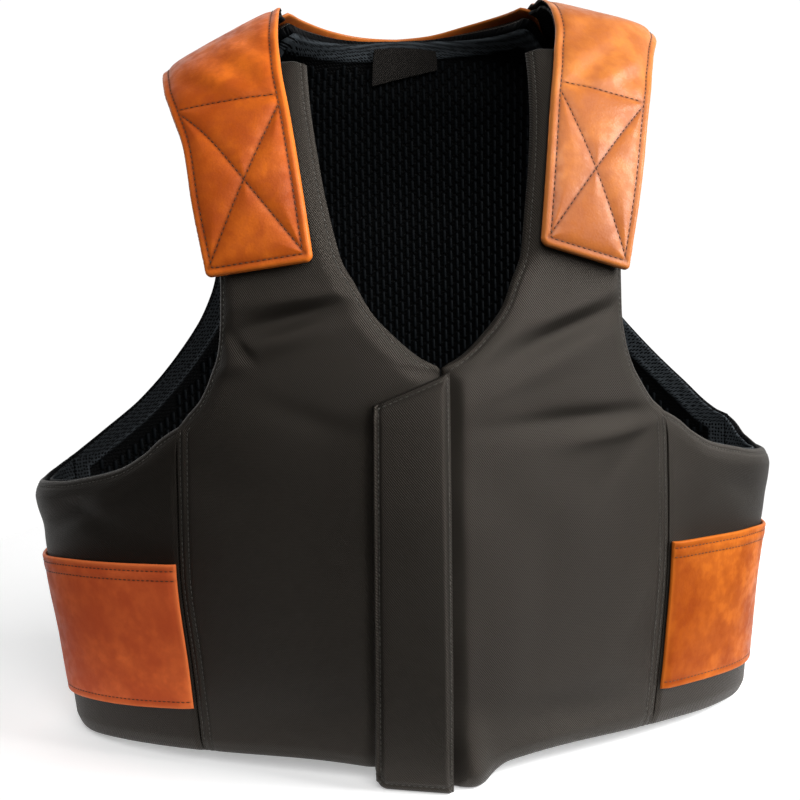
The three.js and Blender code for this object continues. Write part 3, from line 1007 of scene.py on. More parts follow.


# The warm tint of the twill's sheen, and the dark painted into stitched dents: painted shade, and partly
# dirt
SHEEN_TINT = (1, 0.87, 0.74, 1)
TWILL_SHADE = (0.0008, 0.0007, 0.0006, 1)
HIDE_SHADE = (0.11, 0.022, 0.007, 1)


def twill(name, dark, light, shine):
    """Tightly woven nylon twill, darker in its stitched dents with painted shade and some dirt."""
    material, nodes, shader = finish_of(name, 0.5, shine)
    shader["Specular Tint"].default_value = SHEEN_TINT
    weave = nodes.use(TWILL_WEAVE, Pitch=1.35)
    wear = nodes.use(MOTTLING, Fine=300.0, Contrast=0.25)
    shape = nodes.use(SEWN_SHAPE, Reach=2.5)
    tone = nodes.maths("MULTIPLY", weave["Lines"], nodes.span(wear["Specks"], 0.0, 1.0, 0.6, 1.0))
    colour = nodes.blend(tone, dark, light)
    # Painted shade, and partly dirt, darkens the twill in its stitched dents
    colour = nodes.blend(nodes.maths("MULTIPLY", shape["Drawn"], 0.85), colour, TWILL_SHADE)
    nodes.put(shader["Base Color"], colour)
    nodes.put(shader["Roughness"], nodes.span(weave["Lines"], 0.0, 1.0, 0.62, 0.34))
    nodes.put(shader["Normal"], nodes.bump(weave["Height"], 0.0004, 0.8))
    return material


def leather(name, tan, red, edge, shine):
    """Waxed leather: mottled, paler on worn edges, and darker along the stitching with painted shade and
    some dirt.
    """
    material, nodes, shader = finish_of(name, 0.42, shine)
    blotch = nodes.use(MOTTLING, Scale=50.0, Fine=160.0, Contrast=0.14)
    stain = nodes.use(MOTTLING, Scale=11.0, Contrast=0.12)
    shape = nodes.use(SEWN_SHAPE, Reach=3.5)
    grain = nodes.use(HIDE_GRAIN, Scale=750.0)
    colour = nodes.blend(nodes.maths("MULTIPLY", blotch["Blotches"], 0.6), tan, red)
    colour = nodes.blend(nodes.maths("MULTIPLY", stain["Blotches"], 0.6), colour, red)
    colour = nodes.blend(nodes.maths("MULTIPLY", blotch["Specks"], 0.3), colour, red)
    colour = nodes.blend(nodes.maths("MULTIPLY", shape["Edge"], 0.6), colour, edge)
    # Painted shade, and partly dirt, darkens the leather in its stitched dents and quilted lines
    colour = nodes.blend(nodes.maths("MULTIPLY", shape["Drawn"], 0.55), colour, HIDE_SHADE)
    nodes.put(shader["Base Color"], colour)
    nodes.put(shader["Roughness"], nodes.span(blotch["Specks"], 0.0, 1.0, 0.36, 0.5))
    nodes.put(shader["Normal"], nodes.bump(grain["Height"], 0.0005, 0.3))
    return material


def knit(name, colour, holes):
    """A black spacer knit with small holes."""
    material, nodes, shader = finish_of(name, 0.6, 0.04)
    net = nodes.use(KNIT_HOLES, Scale=0.4)
    nodes.put(shader["Base Color"], nodes.blend(net["Holes"], colour, holes))
    nodes.put(shader["Normal"], nodes.bump(net["Height"], 0.0006, 0.7))
    return material


def faced_knit(name, ground, facing, holes):
    """The lining: black between its ribs, and a paler knit with holes on its facing."""
    material, nodes, shader = finish_of(name, 0.6, 0.05)
    net = nodes.use(KNIT_HOLES, Scale=0.4)
    shape = nodes.use(SEWN_SHAPE, Reach=2.0)
    netted = nodes.blend(net["Holes"], facing, holes)
    nodes.put(shader["Base Color"], nodes.blend(shape["Drawn"], ground, netted))
    nodes.put(shader["Normal"], nodes.bump(net["Height"], 0.0006, 0.7))
    return material


def thread_finish(name, colour, pale):
    """Twisted sewing thread."""
    material, nodes, shader = finish_of(name, 0.6, 0.3)
    wear = nodes.use(MOTTLING, Fine=900.0, Contrast=0.2)
    nodes.put(shader["Base Color"], nodes.blend(wear["Specks"], colour, pale))
    return material


TWILL = twill("twill", (0.0003, 0.0002, 0.0002, 1), (0.0105, 0.0084, 0.0058, 1), 0.5)
# The straps are one leather. Their colours differ partly in the leather's own tone and partly as painted
# light: the right strap is painted paler to make up for the less light that falls on it
STRAP_HIDE = {
    RIGHT: leather(
        "right strap leather",
        tan=(0.82, 0.18, 0.016, 1),
        red=(0.4, 0.06, 0.007, 1),
        edge=(0.82, 0.21, 0.024, 1),
        shine=0.15,
    ),
    LEFT: leather(
        "left strap leather",
        tan=(0.58, 0.19, 0.04, 1),
        red=(0.34, 0.085, 0.017, 1),
        edge=(0.62, 0.2, 0.04, 1),
        shine=0.25,
    ),
}
# The pockets are one leather. Their colours differ partly in the leather's own tone and partly as
# painted light: the right pocket is painted paler to make up for the less light that falls on it
PATCH_HIDE = {
    RIGHT: leather(
        "right patch leather",
        tan=(0.92, 0.19, 0.05, 1),
        red=(0.55, 0.08, 0.025, 1),
        edge=(0.9, 0.22, 0.06, 1),
        shine=0.05,
    ),
    LEFT: leather(
        "left patch leather",
        tan=(0.56, 0.14, 0.016, 1),
        red=(0.24, 0.038, 0.005, 1),
        edge=(0.52, 0.13, 0.014, 1),
        shine=0.05,
    ),
}
YOKE_HIDE = leather(
    "yoke leather",
    tan=(0.5, 0.13, 0.018, 1),
    red=(0.24, 0.045, 0.007, 1),
    edge=(0.58, 0.17, 0.025, 1),
    shine=0.25,
)
KNIT = knit("inner knit", (0.0016, 0.0018, 0.0022, 1), (0.0004, 0.0004, 0.0005, 1))
RIB = knit("rib knit", (0.0026, 0.0034, 0.0042, 1), (0.0018, 0.0024, 0.003, 1))
LINING_KNIT = faced_knit(
    "lining knit", (0.0002, 0.0003, 0.0004, 1), (0.036, 0.042, 0.047, 1), (0.002, 0.0022, 0.0026, 1)
)
LABEL_TAPE = twill("label tape", (0.002, 0.002, 0.002, 1), (0.008, 0.008, 0.009, 1), 0.15)
GREY_THREAD = thread_finish("grey thread", (0.025, 0.024, 0.021, 1), (0.12, 0.114, 0.1, 1))
BROWN_THREAD = thread_finish("brown thread", (0.05, 0.018, 0.008, 1), (0.13, 0.05, 0.02, 1))

grey = Thread([], [], [])
brown = Thread([], [], [])


# The panels


def front_inner(z, side):
    """The closure and neck edge of a front panel; below the V it is the centre line."""
    return side * (neck_edge(z) + GAP / 2) + CENTRE * (1 - smooth(z, V_POINT, V_FADE))


def front_outer(z, side):
    """The side seam and armhole edge of a front panel."""
    return side * (arm_edge(z, side) - GAP / 2)


def front_panel(name, side):
    """A padded front panel with its folds; one edge of the flap presses a crease into it."""
    rows, columns = steps("front_panel")
    start, stop = front_inner(0.0, side), front_outer(0.0, side)
    low = hem(turn_at(lerp(start, stop, columns), 0.0, False))
    z = lerp(low, FRONT_TOP[side], rows)
    x = lerp(front_inner(z, side), front_outer(z, side), columns)
    point = on_form(x, z, False)
    edges = edges_of(point)
    seam = 1 - smooth(z, SEAM_TOP - SEAM_BLEND, SEAM_TOP + SEAM_BLEND)
    closed = 1 - smooth(z, V_POINT - V_BELOW, V_POINT + V_ABOVE)
    pinch, drawn, solid = padding(edges, [
        ("first", CLOSURE_EDGE, closed),
        ("first", FREE_EDGE, 1 - closed),
        ("last", LAPPED_EDGE, seam),
        ("last", FREE_EDGE, 1 - seam),
        ("low", HEM_EDGE, 1.0),
        ("high", TUCKED_EDGE, 1.0),
    ])
    tab = min(TAB_END[side])
    flap_edge = lerp(*FLAP_FREE, np.clip(z / FLAP_TOP_FREE, 0, 1))
    before, beyond = FLAP_COVER
    covered = np.maximum(
        smooth(z, tab - TAB_COVER[0], tab - TAB_COVER[1]),
        (x > flap_edge - before) * (x < max(FLAP_SEWN) + beyond) * (z < V_POINT + beyond),
    )
    rise = (fold_rise(point) + unevenness(point)) * smooth(nearest(edges), 0, FREE_EDGE.band)
    creased = CREASE * bell(x - flap_edge, CREASE_WIDTH) * (1 - smooth(z, *CREASE_FADE))
    tail = TAIL[side] * bell(x - TAIL_AT, TAIL_WIDTH) * (1 - smooth(z, 0, TAIL_HEIGHT))
    top = np.minimum(rise, lerp(OPEN_LIMIT, COVERED_LIMIT, covered)) - pinch - drawn - creased
    heights = [height + tail for height in closed_up(np.full_like(top, -PAD), top, solid)]
    weave = np.stack([x * FRONT_SLOPE, z, 0 * z], -1)
    surface = closed_sheet(name, [TWILL, KNIT], point, heights, edges, drawn, weave)
    height = z[:, z.shape[1] // 2]
    for row in FREE_EDGE.rows:
        sew(grey, surface, row_path(surface, "first", row, height > V_POINT + ROW_CHANGE))
        sew(grey, surface, row_path(surface, "last", row, height > SEAM_TOP + ROW_CHANGE))
    lapped = (height > ROW_CLEAR) & (height < SEAM_TOP + ROW_CHANGE)
    for row in LAPPED_EDGE.rows:
        sew(grey, surface, row_path(surface, "last", row, lapped))


def seam_turn(z, side):
    """The turn of the seam between a front panel and a side panel."""
    return turn_at(side * (arm_edge(np.minimum(z, SEAM_TOP), side) + GAP / 2), z, False)


def side_rise(point, seam_distance):
    """The outer height of a side panel away from its free edges."""
    pinch = SEAM_EDGE.pinch * (1 - smooth(seam_distance, 0, SEAM_EDGE.band))
    return (fold_rise(point) + unevenness(point)) * smooth(seam_distance, 0, SEAM_EDGE.band) - pinch


def side_grid(side, rows, columns, lowest=0.0):
    """A grid over a side panel, from its front seam to its back seam."""
    low = np.maximum(hem(lerp(seam_turn(0.0, side), BACK_SEAM, columns)), lowest)
    z = lerp(low, side_top(columns, side), rows)
    return on_turn(lerp(seam_turn(z, side), BACK_SEAM, columns), z, side)


def side_panel(name, side):
    """A padded side panel under an armhole."""
    point = side_grid(side, *steps("side_panel"))
    edges = edges_of(point)
    pinch, drawn, solid = padding(edges, [
        ("high", FREE_EDGE, 1.0),
        ("low", HEM_EDGE, 1.0),
    ])
    seams = np.minimum(edges["first"], edges["last"])
    top = np.minimum(side_rise(point, seams), SIDE_LIMIT) - pinch - drawn
    solid = np.minimum(solid, dome(seams, SEAM_EDGE.round))
    heights = closed_up(np.full_like(top, -PAD), top, solid)
    surface = closed_sheet(name, [TWILL, KNIT], point, heights, edges, drawn)
    for row in FREE_EDGE.rows:
        sew(grey, surface, row_path(surface, "high", row))


def back_edge(z, side):
    """The edge of the back panel: the side seam up to the armhole, and then the armhole."""
    level_z = np.minimum(z, SHOULDER)
    seam = half(level_z, side) * math.sin(math.radians(BACK_SEAM)) ** (2 / BACK_WEDGE)
    return np.minimum(seam, back_arm(level_z, side))


def lap_at(x, lap):
    """A lap behind the shoulder ridge that runs out towards the neck."""
    return lap * lerp(LAP_LEAST, 1, smooth(x, NECK_SIDE, NECK_SIDE + LAP_RUN))


def back_top(across, step, lap):
    """The top edge of the back: a step below the neckline, and a lap below the shoulder ridge."""
    side = np.where(across < 0, -1, 1)
    x = np.abs(across) * back_edge(SHOULDER, side)
    return np.minimum(neckline(x, side) - step, ridge(x, side) - lap_at(x, lap))


def back_grid(rows, across, low, high):
    """A grid over the back between a lower and a higher edge."""
    z = lerp(low, high, rows)
    side = np.where(across < 0, -1, 1)
    return on_form(across * (back_edge(z, side) - GAP / 2), z, True)


def armhole_rows(rows):
    """Steps from row to row, brought closer at the foot of the armholes."""
    return np.interp(rows, (0, 0.32, 0.56, 1), (0, 0.36, 0.47, 1))


def back_panel(name):
    """The padded back panel, plain under the yoke."""
    rows, columns = steps("back_panel")
    across = 2 * columns - 1
    point = back_grid(armhole_rows(rows), across, 0.0, back_top(across, NECK_STEP, PANEL_LAP))
    z = point[..., 2]
    edges = edges_of(point)
    seam = 1 - smooth(z, BACK_SEAM_TOP - BACK_SEAM_BLEND, BACK_SEAM_TOP + BACK_SEAM_BLEND)
    pinch, drawn, solid = padding(edges, [
        ("first", LAPPED_EDGE, seam),
        ("first", FREE_EDGE, 1 - seam),
        ("last", LAPPED_EDGE, seam),
        ("last", FREE_EDGE, 1 - seam),
        ("low", HEM_EDGE, 1.0),
        ("high", TUCKED_EDGE, 1.0),
    ])
    bare = 1 - smooth(z, YOKE_LOW - YOKE_COVER[0], YOKE_LOW - YOKE_COVER[1])
    rise = unevenness(point) * smooth(nearest(edges), 0, FREE_EDGE.band) * bare
    top = rise - pinch - drawn * bare
    heights = closed_up(np.full_like(top, -PAD), top, solid)
    weave = np.stack([point[..., 0], z, 0 * z], -1)
    surface = closed_sheet(name, [TWILL, KNIT], point, heights, edges, drawn, weave)
    height = z[:, 0]
    armhole = (height > BACK_SEAM_TOP + ROW_CLEAR) & (height < YOKE_LOW - YOKE_CLEAR)
    seamed = (height > ROW_CLEAR) & (height < BACK_SEAM_TOP - ROW_CLEAR)
    for edge in ("first", "last"):
        for row in FREE_EDGE.rows:
            sew(grey, surface, row_path(surface, edge, row, armhole))
        for row in LAPPED_EDGE.rows:
            sew(grey, surface, row_path(surface, edge, row, seamed))


def closure_flap(name):
    """The padded strip over the closure, with a raised lip on its free edge and a flat sewn edge."""
    rows, columns = steps("closure_flap")
    low = FLAP_CORNER * (1 - dome(columns * (FLAP_SEWN[0] - FLAP_FREE[0]), FLAP_CORNER))
    z = lerp(low, lerp(FLAP_TOP_FREE, FLAP_TOP_SEWN, columns), rows)
    x = lerp(lerp(*FLAP_FREE, rows), lerp(*FLAP_SEWN, rows), columns)
    point = on_form(x, z, False)
    edges = edges_of(point)
    drawn = sum(FLAP_DENT * dent(edges[edge], row) for edge, row in FLAP_ROWS.items())
    fold = FLAP_FOLD * (1 - smooth(edges["last"], 0, FLAP_FOLD_BAND))
    ends = FLAP_END * (1 - smooth(np.minimum(edges["high"], edges["low"]), 0, FLAP_END_BAND))
    lip = LIP_RISE * bell(edges["first"] - LIP_AT, LIP_WIDTH)
    top = GAP + FLAP + lip + unevenness(point) * FLAP_SWELL - np.maximum(fold, ends) - drawn
    solid = np.minimum(dome(nearest(edges), FLAP_ROUND), dome(edges["low"], FLAP_LOW_ROUND))
    heights = closed_up(np.full_like(top, GAP), top, solid)
    surface = closed_sheet(name, [TWILL], point, heights, edges, drawn)
    for edge, row in FLAP_ROWS.items():
        sew(grey, surface, row_path(surface, edge, row))


# The leather


def strap_steps(rows):
    """Steps along a strap, from its tab (-1) over the ridge (0) to the back (1)."""
    past = rows - STRAP_FRONT_SHARE
    return np.where(past < 0, past / STRAP_FRONT_SHARE, past / (1 - STRAP_FRONT_SHARE))


def strap_grid(side, along, across, front_end, back_lap, reach=1.0):
    """A grid along a strap, from the level of its front end to a lap behind the shoulder ridge.

    back_lap gives that lap by x, and reach is the share of the strap's front part that the grid
    takes up.
    """
    at = np.where(along < 0, along * reach, along)
    x = lerp(strap_neck(at, side), strap_arm(at, side), across)
    drop = np.where(along < 0, ridge(x, side) - front_end, back_lap(x))
    z = ridge(x, side) - drop * along ** 2
    return on_form(side * x, z, (along > 0) & np.ones_like(x, bool))


def from_segment(s, w, start, end):
    """The distance in a flat plane from points to a straight line between two points."""
    ds, dw = end[0] - start[0], end[1] - start[1]
    t = np.clip(((s - start[0]) * ds + (w - start[1]) * dw) / (ds * ds + dw * dw), 0, 1)
    return np.hypot(s - start[0] - t * ds, w - start[1] - t * dw)


def between(grid, place, axis):
    """A grid's row or column at a fractional place."""
    low = min(int(place), grid.shape[axis] - 2)
    first, second = np.take(grid, (low, low + 1), axis=axis).swapaxes(0, axis)
    return lerp(first, second, place - low)


def straight_path(s, w, start, end):
    """The grid places along a straight line in the flat plane of two fields."""
    spots, rounds = 50, 5
    path = []
    for t in np.linspace(0, 1, spots):
        i, j = s.shape[0] / 3, s.shape[1] / 2
        for _ in range(rounds):
            i = np.interp(lerp(start[0], end[0], t), between(s, j, 1), np.arange(s.shape[0]))
            j = np.interp(lerp(start[1], end[1], t), between(w, i, 0), np.arange(s.shape[1]))
        path.append((i, j))
    return np.array(path)


def crossed_box(side, point, s, wide, ahead):
    """The straight lines of the stitched box and its cross, as pairs of places on the flat strap."""
    near, far = STRAP_ROW, wide - STRAP_ROW
    high_neck, high_arm = (
        float(np.interp(top, point[ahead, column, 2], s[ahead, column]))
        for top, column in zip(BOX_TOP[side], (ROW_COLUMN, -1 - ROW_COLUMN))
    )
    return (
        ((high_neck, near), (high_arm, far)),
        ((STRAP_ROW, near), (high_arm - CROSS_DROP_ARM, far)),
        ((STRAP_ROW, far), (high_neck - CROSS_DROP_NECK, near)),
    )


def quilting(line, outside):
    """How far the stitched lines draw a strap's leather down, and a mask of its flat welt."""
    soft = np.hypot(line, QUILT_SOFT) - QUILT_SOFT
    welt = 1 - smooth(outside, STRAP_ROW - WELT_BAND, STRAP_ROW)
    return lerp(QUILT * np.exp(-soft / QUILT_REACH), WELT_DENT * np.exp(-soft / WELT_REACH), welt), welt


def sew_strap(surface, s, w, crossed):
    """Sews a strap's border and its crossed box."""
    run, width = s[:, s.shape[1] // 2], w[0]
    for edges, place in ((("first", "last"), run), (("low", "high"), width)):
        inside = (place > STRAP_ROW) & (place[-1] - place > STRAP_ROW)
        for edge in edges:
            sew(brown, surface, row_path(surface, edge, STRAP_ROW, inside))
    for ends in crossed:
        sew(brown, surface, straight_path(s, w, *ends))


def shoulder_strap(name, side):
    """A padded leather strap with a stitched border and a crossed box on its front tab."""
    rows, across = steps("shoulder_strap")
    along = strap_steps(rows)
    wide = float(strap_arm(-1.0, side) - strap_neck(-1.0, side))
    corner = TAB_CORNER * (1 - dome(np.minimum(across, 1 - across) * wide, TAB_CORNER))
    end = lerp(*TAB_END[side], across) + corner
    point = strap_grid(side, along, across, end, lambda x: BACK_LAP + STRAP_OVER)
    edges = edges_of(point)
    outside = nearest(edges)
    s, w = lengths(point, 0), lengths(point, 1)
    w = w / w[:, -1:] * wide
    crossed = crossed_box(side, point, s, wide, along[:, 0] < 0)
    lines = [np.abs(outside - STRAP_ROW)] + [from_segment(s, w, *ends) for ends in crossed]
    line = np.min(lines, axis=0)
    drawn, welt = quilting(line, outside)
    thick = lerp(STRAP, STRAP_FOLD, smooth(along, *STRAP_THINS))
    under = lerp(GAP, LAID + LEATHER + GAP, smooth(along, *STRAP_LIFTS)) + 0 * outside
    drawn = np.minimum(drawn, thick - STRAP_LEAST)
    top = under + thick - drawn - welt * WELT_STEP + strap_rise(point, side)
    heights = closed_up(under, top, dome(outside, STRAP_ROUND))
    # Painted shade along the quilted and stitched lines, which the leather reads as its mark
    mark = bell(line, QUILT_SHADE_WIDTH)
    surface = closed_sheet(name, [STRAP_HIDE[side], KNIT], point, heights, edges, mark)
    sew_strap(surface, s, w, crossed)


def leather_sheet(name, hide, point, edges, under, rise, rows):
    """A sheet of leather on a panel, sewn on along rows at distances from its edges.

    under is the height of its inner face, and rise what is added to the leather's thickness.
    """
    drawn = sum(LEATHER_DENT * dent(edges[edge], row) for edge, row in rows)
    heights = closed_up(under, under + LEATHER + rise - drawn, dome(nearest(edges), LEATHER_ROUND))
    surface = closed_sheet(name, [hide], point, heights, edges, drawn)
    for edge, row in rows:
        sew(brown, surface, row_path(surface, edge, row))


def side_pocket(name, side):
    """A leather patch on a side panel with a folded, twice-stitched top edge."""
    rows, columns = steps("side_pocket")
    z = lerp(pocket_bottom(columns, side), pocket_top(columns), rows)
    seam = seam_turn(z, side)
    turn = lerp(seam + POCKET_TUCK, POCKET_BACK, columns)
    point = on_turn(turn, z, side)
    under = side_rise(point, np.minimum(turn - seam, BACK_SEAM - turn) * SIDE_STEP) + LAID
    edges = edges_of(point)
    folded = POCKET_FOLD_RISE * (1 - smooth(edges["high"], *POCKET_FOLD))
    leather_sheet(name, PATCH_HIDE[side], point, edges, under, folded, POCKET_ROWS)


def back_yoke(name):
    """Leather over the upper back; its top edge is the line along the back of the neck."""
    rows, columns = steps("back_yoke")
    across = 2 * columns - 1
    low = YOKE_SHARE * back_top(across, NECK_STEP, PANEL_LAP)
    point = back_grid(rows, across, low, back_top(across, 0.0, BACK_LAP + GAP))
    under = np.full(point.shape[:2], LAID)
    leather_sheet(name, YOKE_HIDE, point, edges_of(point), under, 0.0, YOKE_ROWS)


# The lining


LINING_OUT = -(PAD + LAID)
LINING_IN = -(PAD + LAID + LINING)
RIB_FOOT = LINING_IN + RIB_RISE


def lining_sheet(name, point, open_edges):
    """A sheet of lining: thin where the ribs stand, with a thicker piped facing at its open edges."""
    edges = edges_of(point)
    inset = np.min([edges[edge] for edge in open_edges], axis=0)
    # The facing's paleness by side is painted light and shade on one and the same knit
    tone = np.where(point[..., 0] < 0, ARMHOLE_PAINTED_LIGHT[RIGHT], ARMHOLE_PAINTED_LIGHT[LEFT])
    pale = lerp(tone, 1, smooth(point[..., 2], *NECK_FACING))
    facing = 1 - smooth(inset, FACING - FACING_SOFT, FACING + FACING_SOFT)
    pipe = bell(inset - FACING, PIPING_WIDTH)
    low = RIB_FOOT - (RIB_RISE - FACING_DROP) * facing - PIPING * pipe
    heights = closed_up(low, np.full_like(low, LINING_OUT), dome(nearest(edges), LINING_ROUND))
    surface = closed_sheet(name, [LINING_KNIT], point, heights, edges, (facing + pipe) * pale)


def rib_bars(name, place):
    """Raised bars of the ribbed lining: low closed loaves in staggered columns on its inner face.

    place gives the form points of all the bars for an offset across and up from their middles.
    """
    lower_end = ((-1, -0.75), (-0.55, -1), (0.55, -1), (1, -0.75))
    ring = lower_end + tuple((-a, -b) for a, b in lower_end)
    layers = ((1.0, -RIB_SUNK), (RIB_TOP, RIB_RISE))
    points = []
    for size, rise in layers:
        for a, b in ring:
            point = place(a * size * RIB_WIDTH / 2, b * lerp(1, size, BAR_TAPER) * BAR_LENGTH / 2)
            points.append(point - outward(point) * (rise - RIB_FOOT))
    count = len(ring)
    cap = ((0, 1, 2, 3), (0, 3, 4, 7), (7, 4, 5, 6))
    quads = [(k, (k + 1) % count, (k + 1) % count + count, k + count) for k in range(count)]
    quads += [face[::-1] for face in cap] + [tuple(k + count for k in face) for face in cap]
    points = np.stack(points, 1)
    faces = np.array(quads)[None] + np.arange(len(points))[:, None, None] * points.shape[1]
    piece = mesh_piece(name, points.reshape(-1, 3), faces.reshape(-1, 4), [RIB])


def bar_slots(ribs, bars):
    """The numbers of all ribs and the heights of all bars in them, staggered from rib to rib."""
    rib, bar = (grid.ravel() for grid in np.meshgrid(np.array(ribs), np.array(bars), indexing="ij"))
    return rib, (bar + (rib * BAR_STAGGER) % 1) * BAR_PITCH


def back_lining(name):
    """The lining of the back, with ribs inside its facing."""
    rows, columns = steps("back_lining")
    across = 2 * columns - 1
    top = back_top(across, NECK_STEP, PANEL_LAP)
    point = back_grid(armhole_rows(rows), across, LINING_LOW, top)
    lining_sheet(name, point, ("high", "first", "last"))
    rib, z = bar_slots(range(-BACK_RIBS, BACK_RIBS + 1), range(1, BACK_BARS))
    x = rib * RIB_PITCH
    side = np.where(x < 0, -1, 1)
    ceiling = np.minimum(neckline(np.abs(x), side) - NECK_STEP, ridge(np.abs(x), side) - PANEL_LAP)
    room = np.full(len(x), np.inf)
    for reach in (-BAR_PITCH / 2, 0.0, BAR_PITCH / 2):
        lean = back_edge(z + reach + 0.5, side) - back_edge(z + reach - 0.5, side)
        room = np.minimum(room, (back_edge(z + reach, side) - np.abs(x)) / np.hypot(1, lean))
    keep = (z + BAR_PITCH / 2 < ceiling - FACING - RIB_CLEAR) & (z > LINING_LOW + BAR_PITCH)
    keep &= room > FACING + RIB_WIDTH
    x, z = x[keep], z[keep]
    rib_bars(name + "_ribs", lambda a, b: on_form(x + a, z + b, True))


def side_lining(name, side):
    """The lining of a side panel, with ribs below its facing."""
    point = side_grid(side, *steps("side_lining"), SIDE_LINING_LOW)
    lining_sheet(name, point, ("high",))
    step = RIB_PITCH / SIDE_STEP
    rib, z = bar_slots(range(int(BACK_SEAM / step)), range(1, SIDE_BARS))
    turn = BACK_SEAM - (rib + 1.5) * step
    seam = seam_turn(z, side)
    across = np.clip((turn - seam) / (BACK_SEAM - seam), 0, 1)
    keep = (turn > seam + 2 * step) & (z > hem(turn) + BAR_PITCH)
    keep &= z + BAR_PITCH / 2 < side_top(across, side) - FACING - RIB_CLEAR
    turn, z = turn[keep], z[keep]
    rib_bars(name + "_ribs", lambda a, b: on_turn(turn + a / SIDE_STEP, z + b, side))


def strap_lining(name, side):
    """The plain lining under a strap, over the ridge of the shoulder."""
    rows, columns = steps("strap_lining")
    along, across = strap_steps(rows), lerp(STRAP_LINING_FROM, STRAP_LINING_TO, columns)
    front_end = FRONT_TOP[side] + GAP
    point = strap_grid(
        side, along, across, front_end, lambda x: lap_at(x, PANEL_LAP - GAP), STRAP_LINING_REACH
    )
    edges = edges_of(point)
    outside = nearest(edges)
    low = np.full_like(outside, -LINING - GAP)
    heights = closed_up(low, np.full_like(low, -GAP), dome(outside, LINING_ROUND))
    surface = closed_sheet(name, [KNIT], point, heights, edges, 0 * outside)


def neck_label(name):
    """A blank woven label that hangs from the neck seam, a little askew."""
    rows, columns = steps("neck_label")
    x = LABEL_MIDDLE + (columns - 0.5) * LABEL_WIDTH
    z = lerp(LABEL_BOTTOM + (columns - 0.5) * LABEL_SLANT, LABEL_TOP, rows)
    point = on_form(x, z, True)
    edges = edges_of(point)
    outside = nearest(edges)
    low = np.full_like(outside, LINING_IN - LABEL_GAP - LABEL)
    heights = closed_up(low, low + LABEL, dome(outside, LABEL_ROUND))
    surface = closed_sheet(name, [LABEL_TAPE], point, heights, edges, 0 * outside)


# The scene


FLOOR_PLACE = (0.0, 0.33, -0.0004)
FLOOR_RADIUS, FLOOR_SIDES = 0.455, 96
FLOOR_GLOW = 0.35
DIM_FRONT, PALE_BACK = 0.08, 1.05

Light = namedtuple("Light", "name place target size power")
STUDIO_LIGHTS = (
    Light("key light", (1.3, -0.5, 0.8), (0.05, 0, 0.3), (0.7, 1.1), 38),
    Light("fill light", (0.1, -1.5, 1.35), (0, 0, 0.25), (1.2, 1.2), 26),
)
CAMERA_LENS = 50.0
CAMERA_PLACE = (-61.5, -694.4, 308.0)
CAMERA_AZIMUTH, CAMERA_PITCH, CAMERA_ROLL = (math.radians(a) for a in (-4.2, 8.0, -1.5))


def add_camera():
    """The camera of the photograph, from its place on the form's frame and its three angles."""
    right = Vector((math.cos(CAMERA_AZIMUTH), math.sin(CAMERA_AZIMUTH), 0))
    ahead = Vector((-right.y, right.x, 0)) * math.cos(CAMERA_PITCH)
    ahead.z = -math.sin(CAMERA_PITCH)
    up = right.cross(ahead)
    across = right * math.cos(CAMERA_ROLL) + up * math.sin(CAMERA_ROLL)
    rise = up * math.cos(CAMERA_ROLL) - right * math.sin(CAMERA_ROLL)
    data = bpy.data.cameras.new("camera")
    data.lens = CAMERA_LENS
    data.clip_start = 0.01
    camera = bpy.data.objects.new("camera", data)
    turned = Matrix((across, rise, -ahead)).transposed().to_4x4()
    camera.matrix_world = Matrix.Translation(placed(np.array(CAMERA_PLACE))) @ turned
    bpy.context.scene.collection.objects.link(camera)
    bpy.context.scene.camera = camera


def add_light(light):
    """A soft light at its place, in metres, facing its target."""
    data = bpy.data.lights.new(light.name, "AREA")
    data.shape = "RECTANGLE"
    data.size, data.size_y = light.size
    data.energy = light.power
    lamp = bpy.data.objects.new(light.name, data)
    lamp.location = light.place
    lamp.rotation_mode = "QUATERNION"
    lamp.rotation_quaternion = (Vector(light.target) - Vector(light.place)).to_track_quat("-Z", "Y")
    bpy.context.scene.collection.objects.link(lamp)


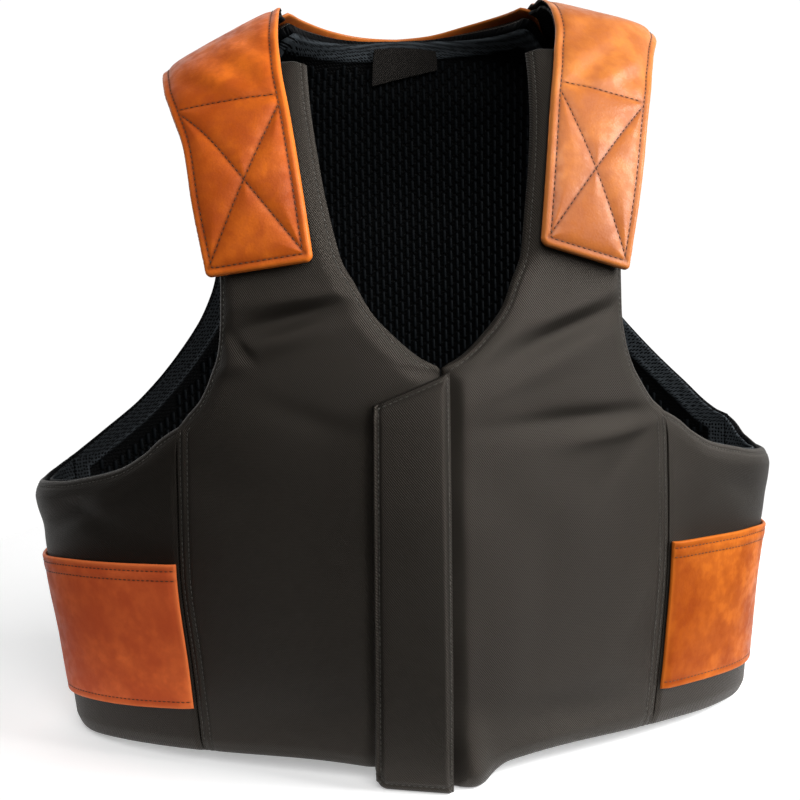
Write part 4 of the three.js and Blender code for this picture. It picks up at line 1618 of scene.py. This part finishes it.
def add_floor():
    """A plain, pale, round floor that glows a little."""
    turns = np.arange(FLOOR_SIDES) * 2 * math.pi / FLOOR_SIDES
    corners = [(FLOOR_RADIUS * math.cos(turn), FLOOR_RADIUS * math.sin(turn), 0) for turn in turns]
    mesh = bpy.data.meshes.new("floor")
    mesh.from_pydata(corners, [], [range(FLOOR_SIDES)])
    floor = bpy.data.objects.new("floor", mesh)
    floor.location = FLOOR_PLACE
    bpy.context.scene.collection.objects.link(floor)
    material, nodes, shader = finish_of("pale floor", 0.9, 0.1)
    speck = nodes.noise(nodes.place(), 40.0, 2.0)
    nodes.put(shader["Base Color"], nodes.blend(speck, (0.86, 0.86, 0.86, 1), (0.9, 0.9, 0.9, 1)))
    shader["Emission Color"].default_value = (1, 1, 1, 1)
    shader["Emission Strength"].default_value = FLOOR_GLOW
    mesh.materials.append(material)


def add_backdrop():
    """Pale surroundings that dim towards the front."""
    world = bpy.data.worlds.new("studio")
    bpy.context.scene.world = world
    world.use_nodes = True
    nodes = Nodes(world.node_tree)
    direction = nodes.add("ShaderNodeSeparateXYZ")
    nodes.put(direction.inputs[0], nodes.add("ShaderNodeTexCoord").outputs["Generated"])
    backdrop = nodes.span(direction.outputs[1], 0.3, 0.75, DIM_FRONT, PALE_BACK)
    nodes.put(world.node_tree.nodes["Background"].inputs["Strength"], backdrop)
    world.node_tree.nodes["Background"].inputs["Color"].default_value = (1, 1, 1, 1)
    bpy.context.scene.view_settings.view_transform = "Standard"


add_camera()
add_floor()
add_backdrop()
for light in STUDIO_LIGHTS:
    add_light(light)
back_panel("back_panel")
back_lining("back_lining")
back_yoke("back_yoke")
closure_flap("closure_flap")
neck_label("neck_label")
for word, side in (("right", RIGHT), ("left", LEFT)):
    front_panel("front_panel_" + word, side)
    side_panel("side_panel_" + word, side)
    side_lining("side_lining_" + word, side)
    side_pocket("side_pocket_" + word, side)
    shoulder_strap("shoulder_strap_" + word, side)
    strap_lining("strap_lining_" + word, side)
thread_piece("twill_stitches", grey, GREY_THREAD)
thread_piece("leather_stitches", brown, BROWN_THREAD)
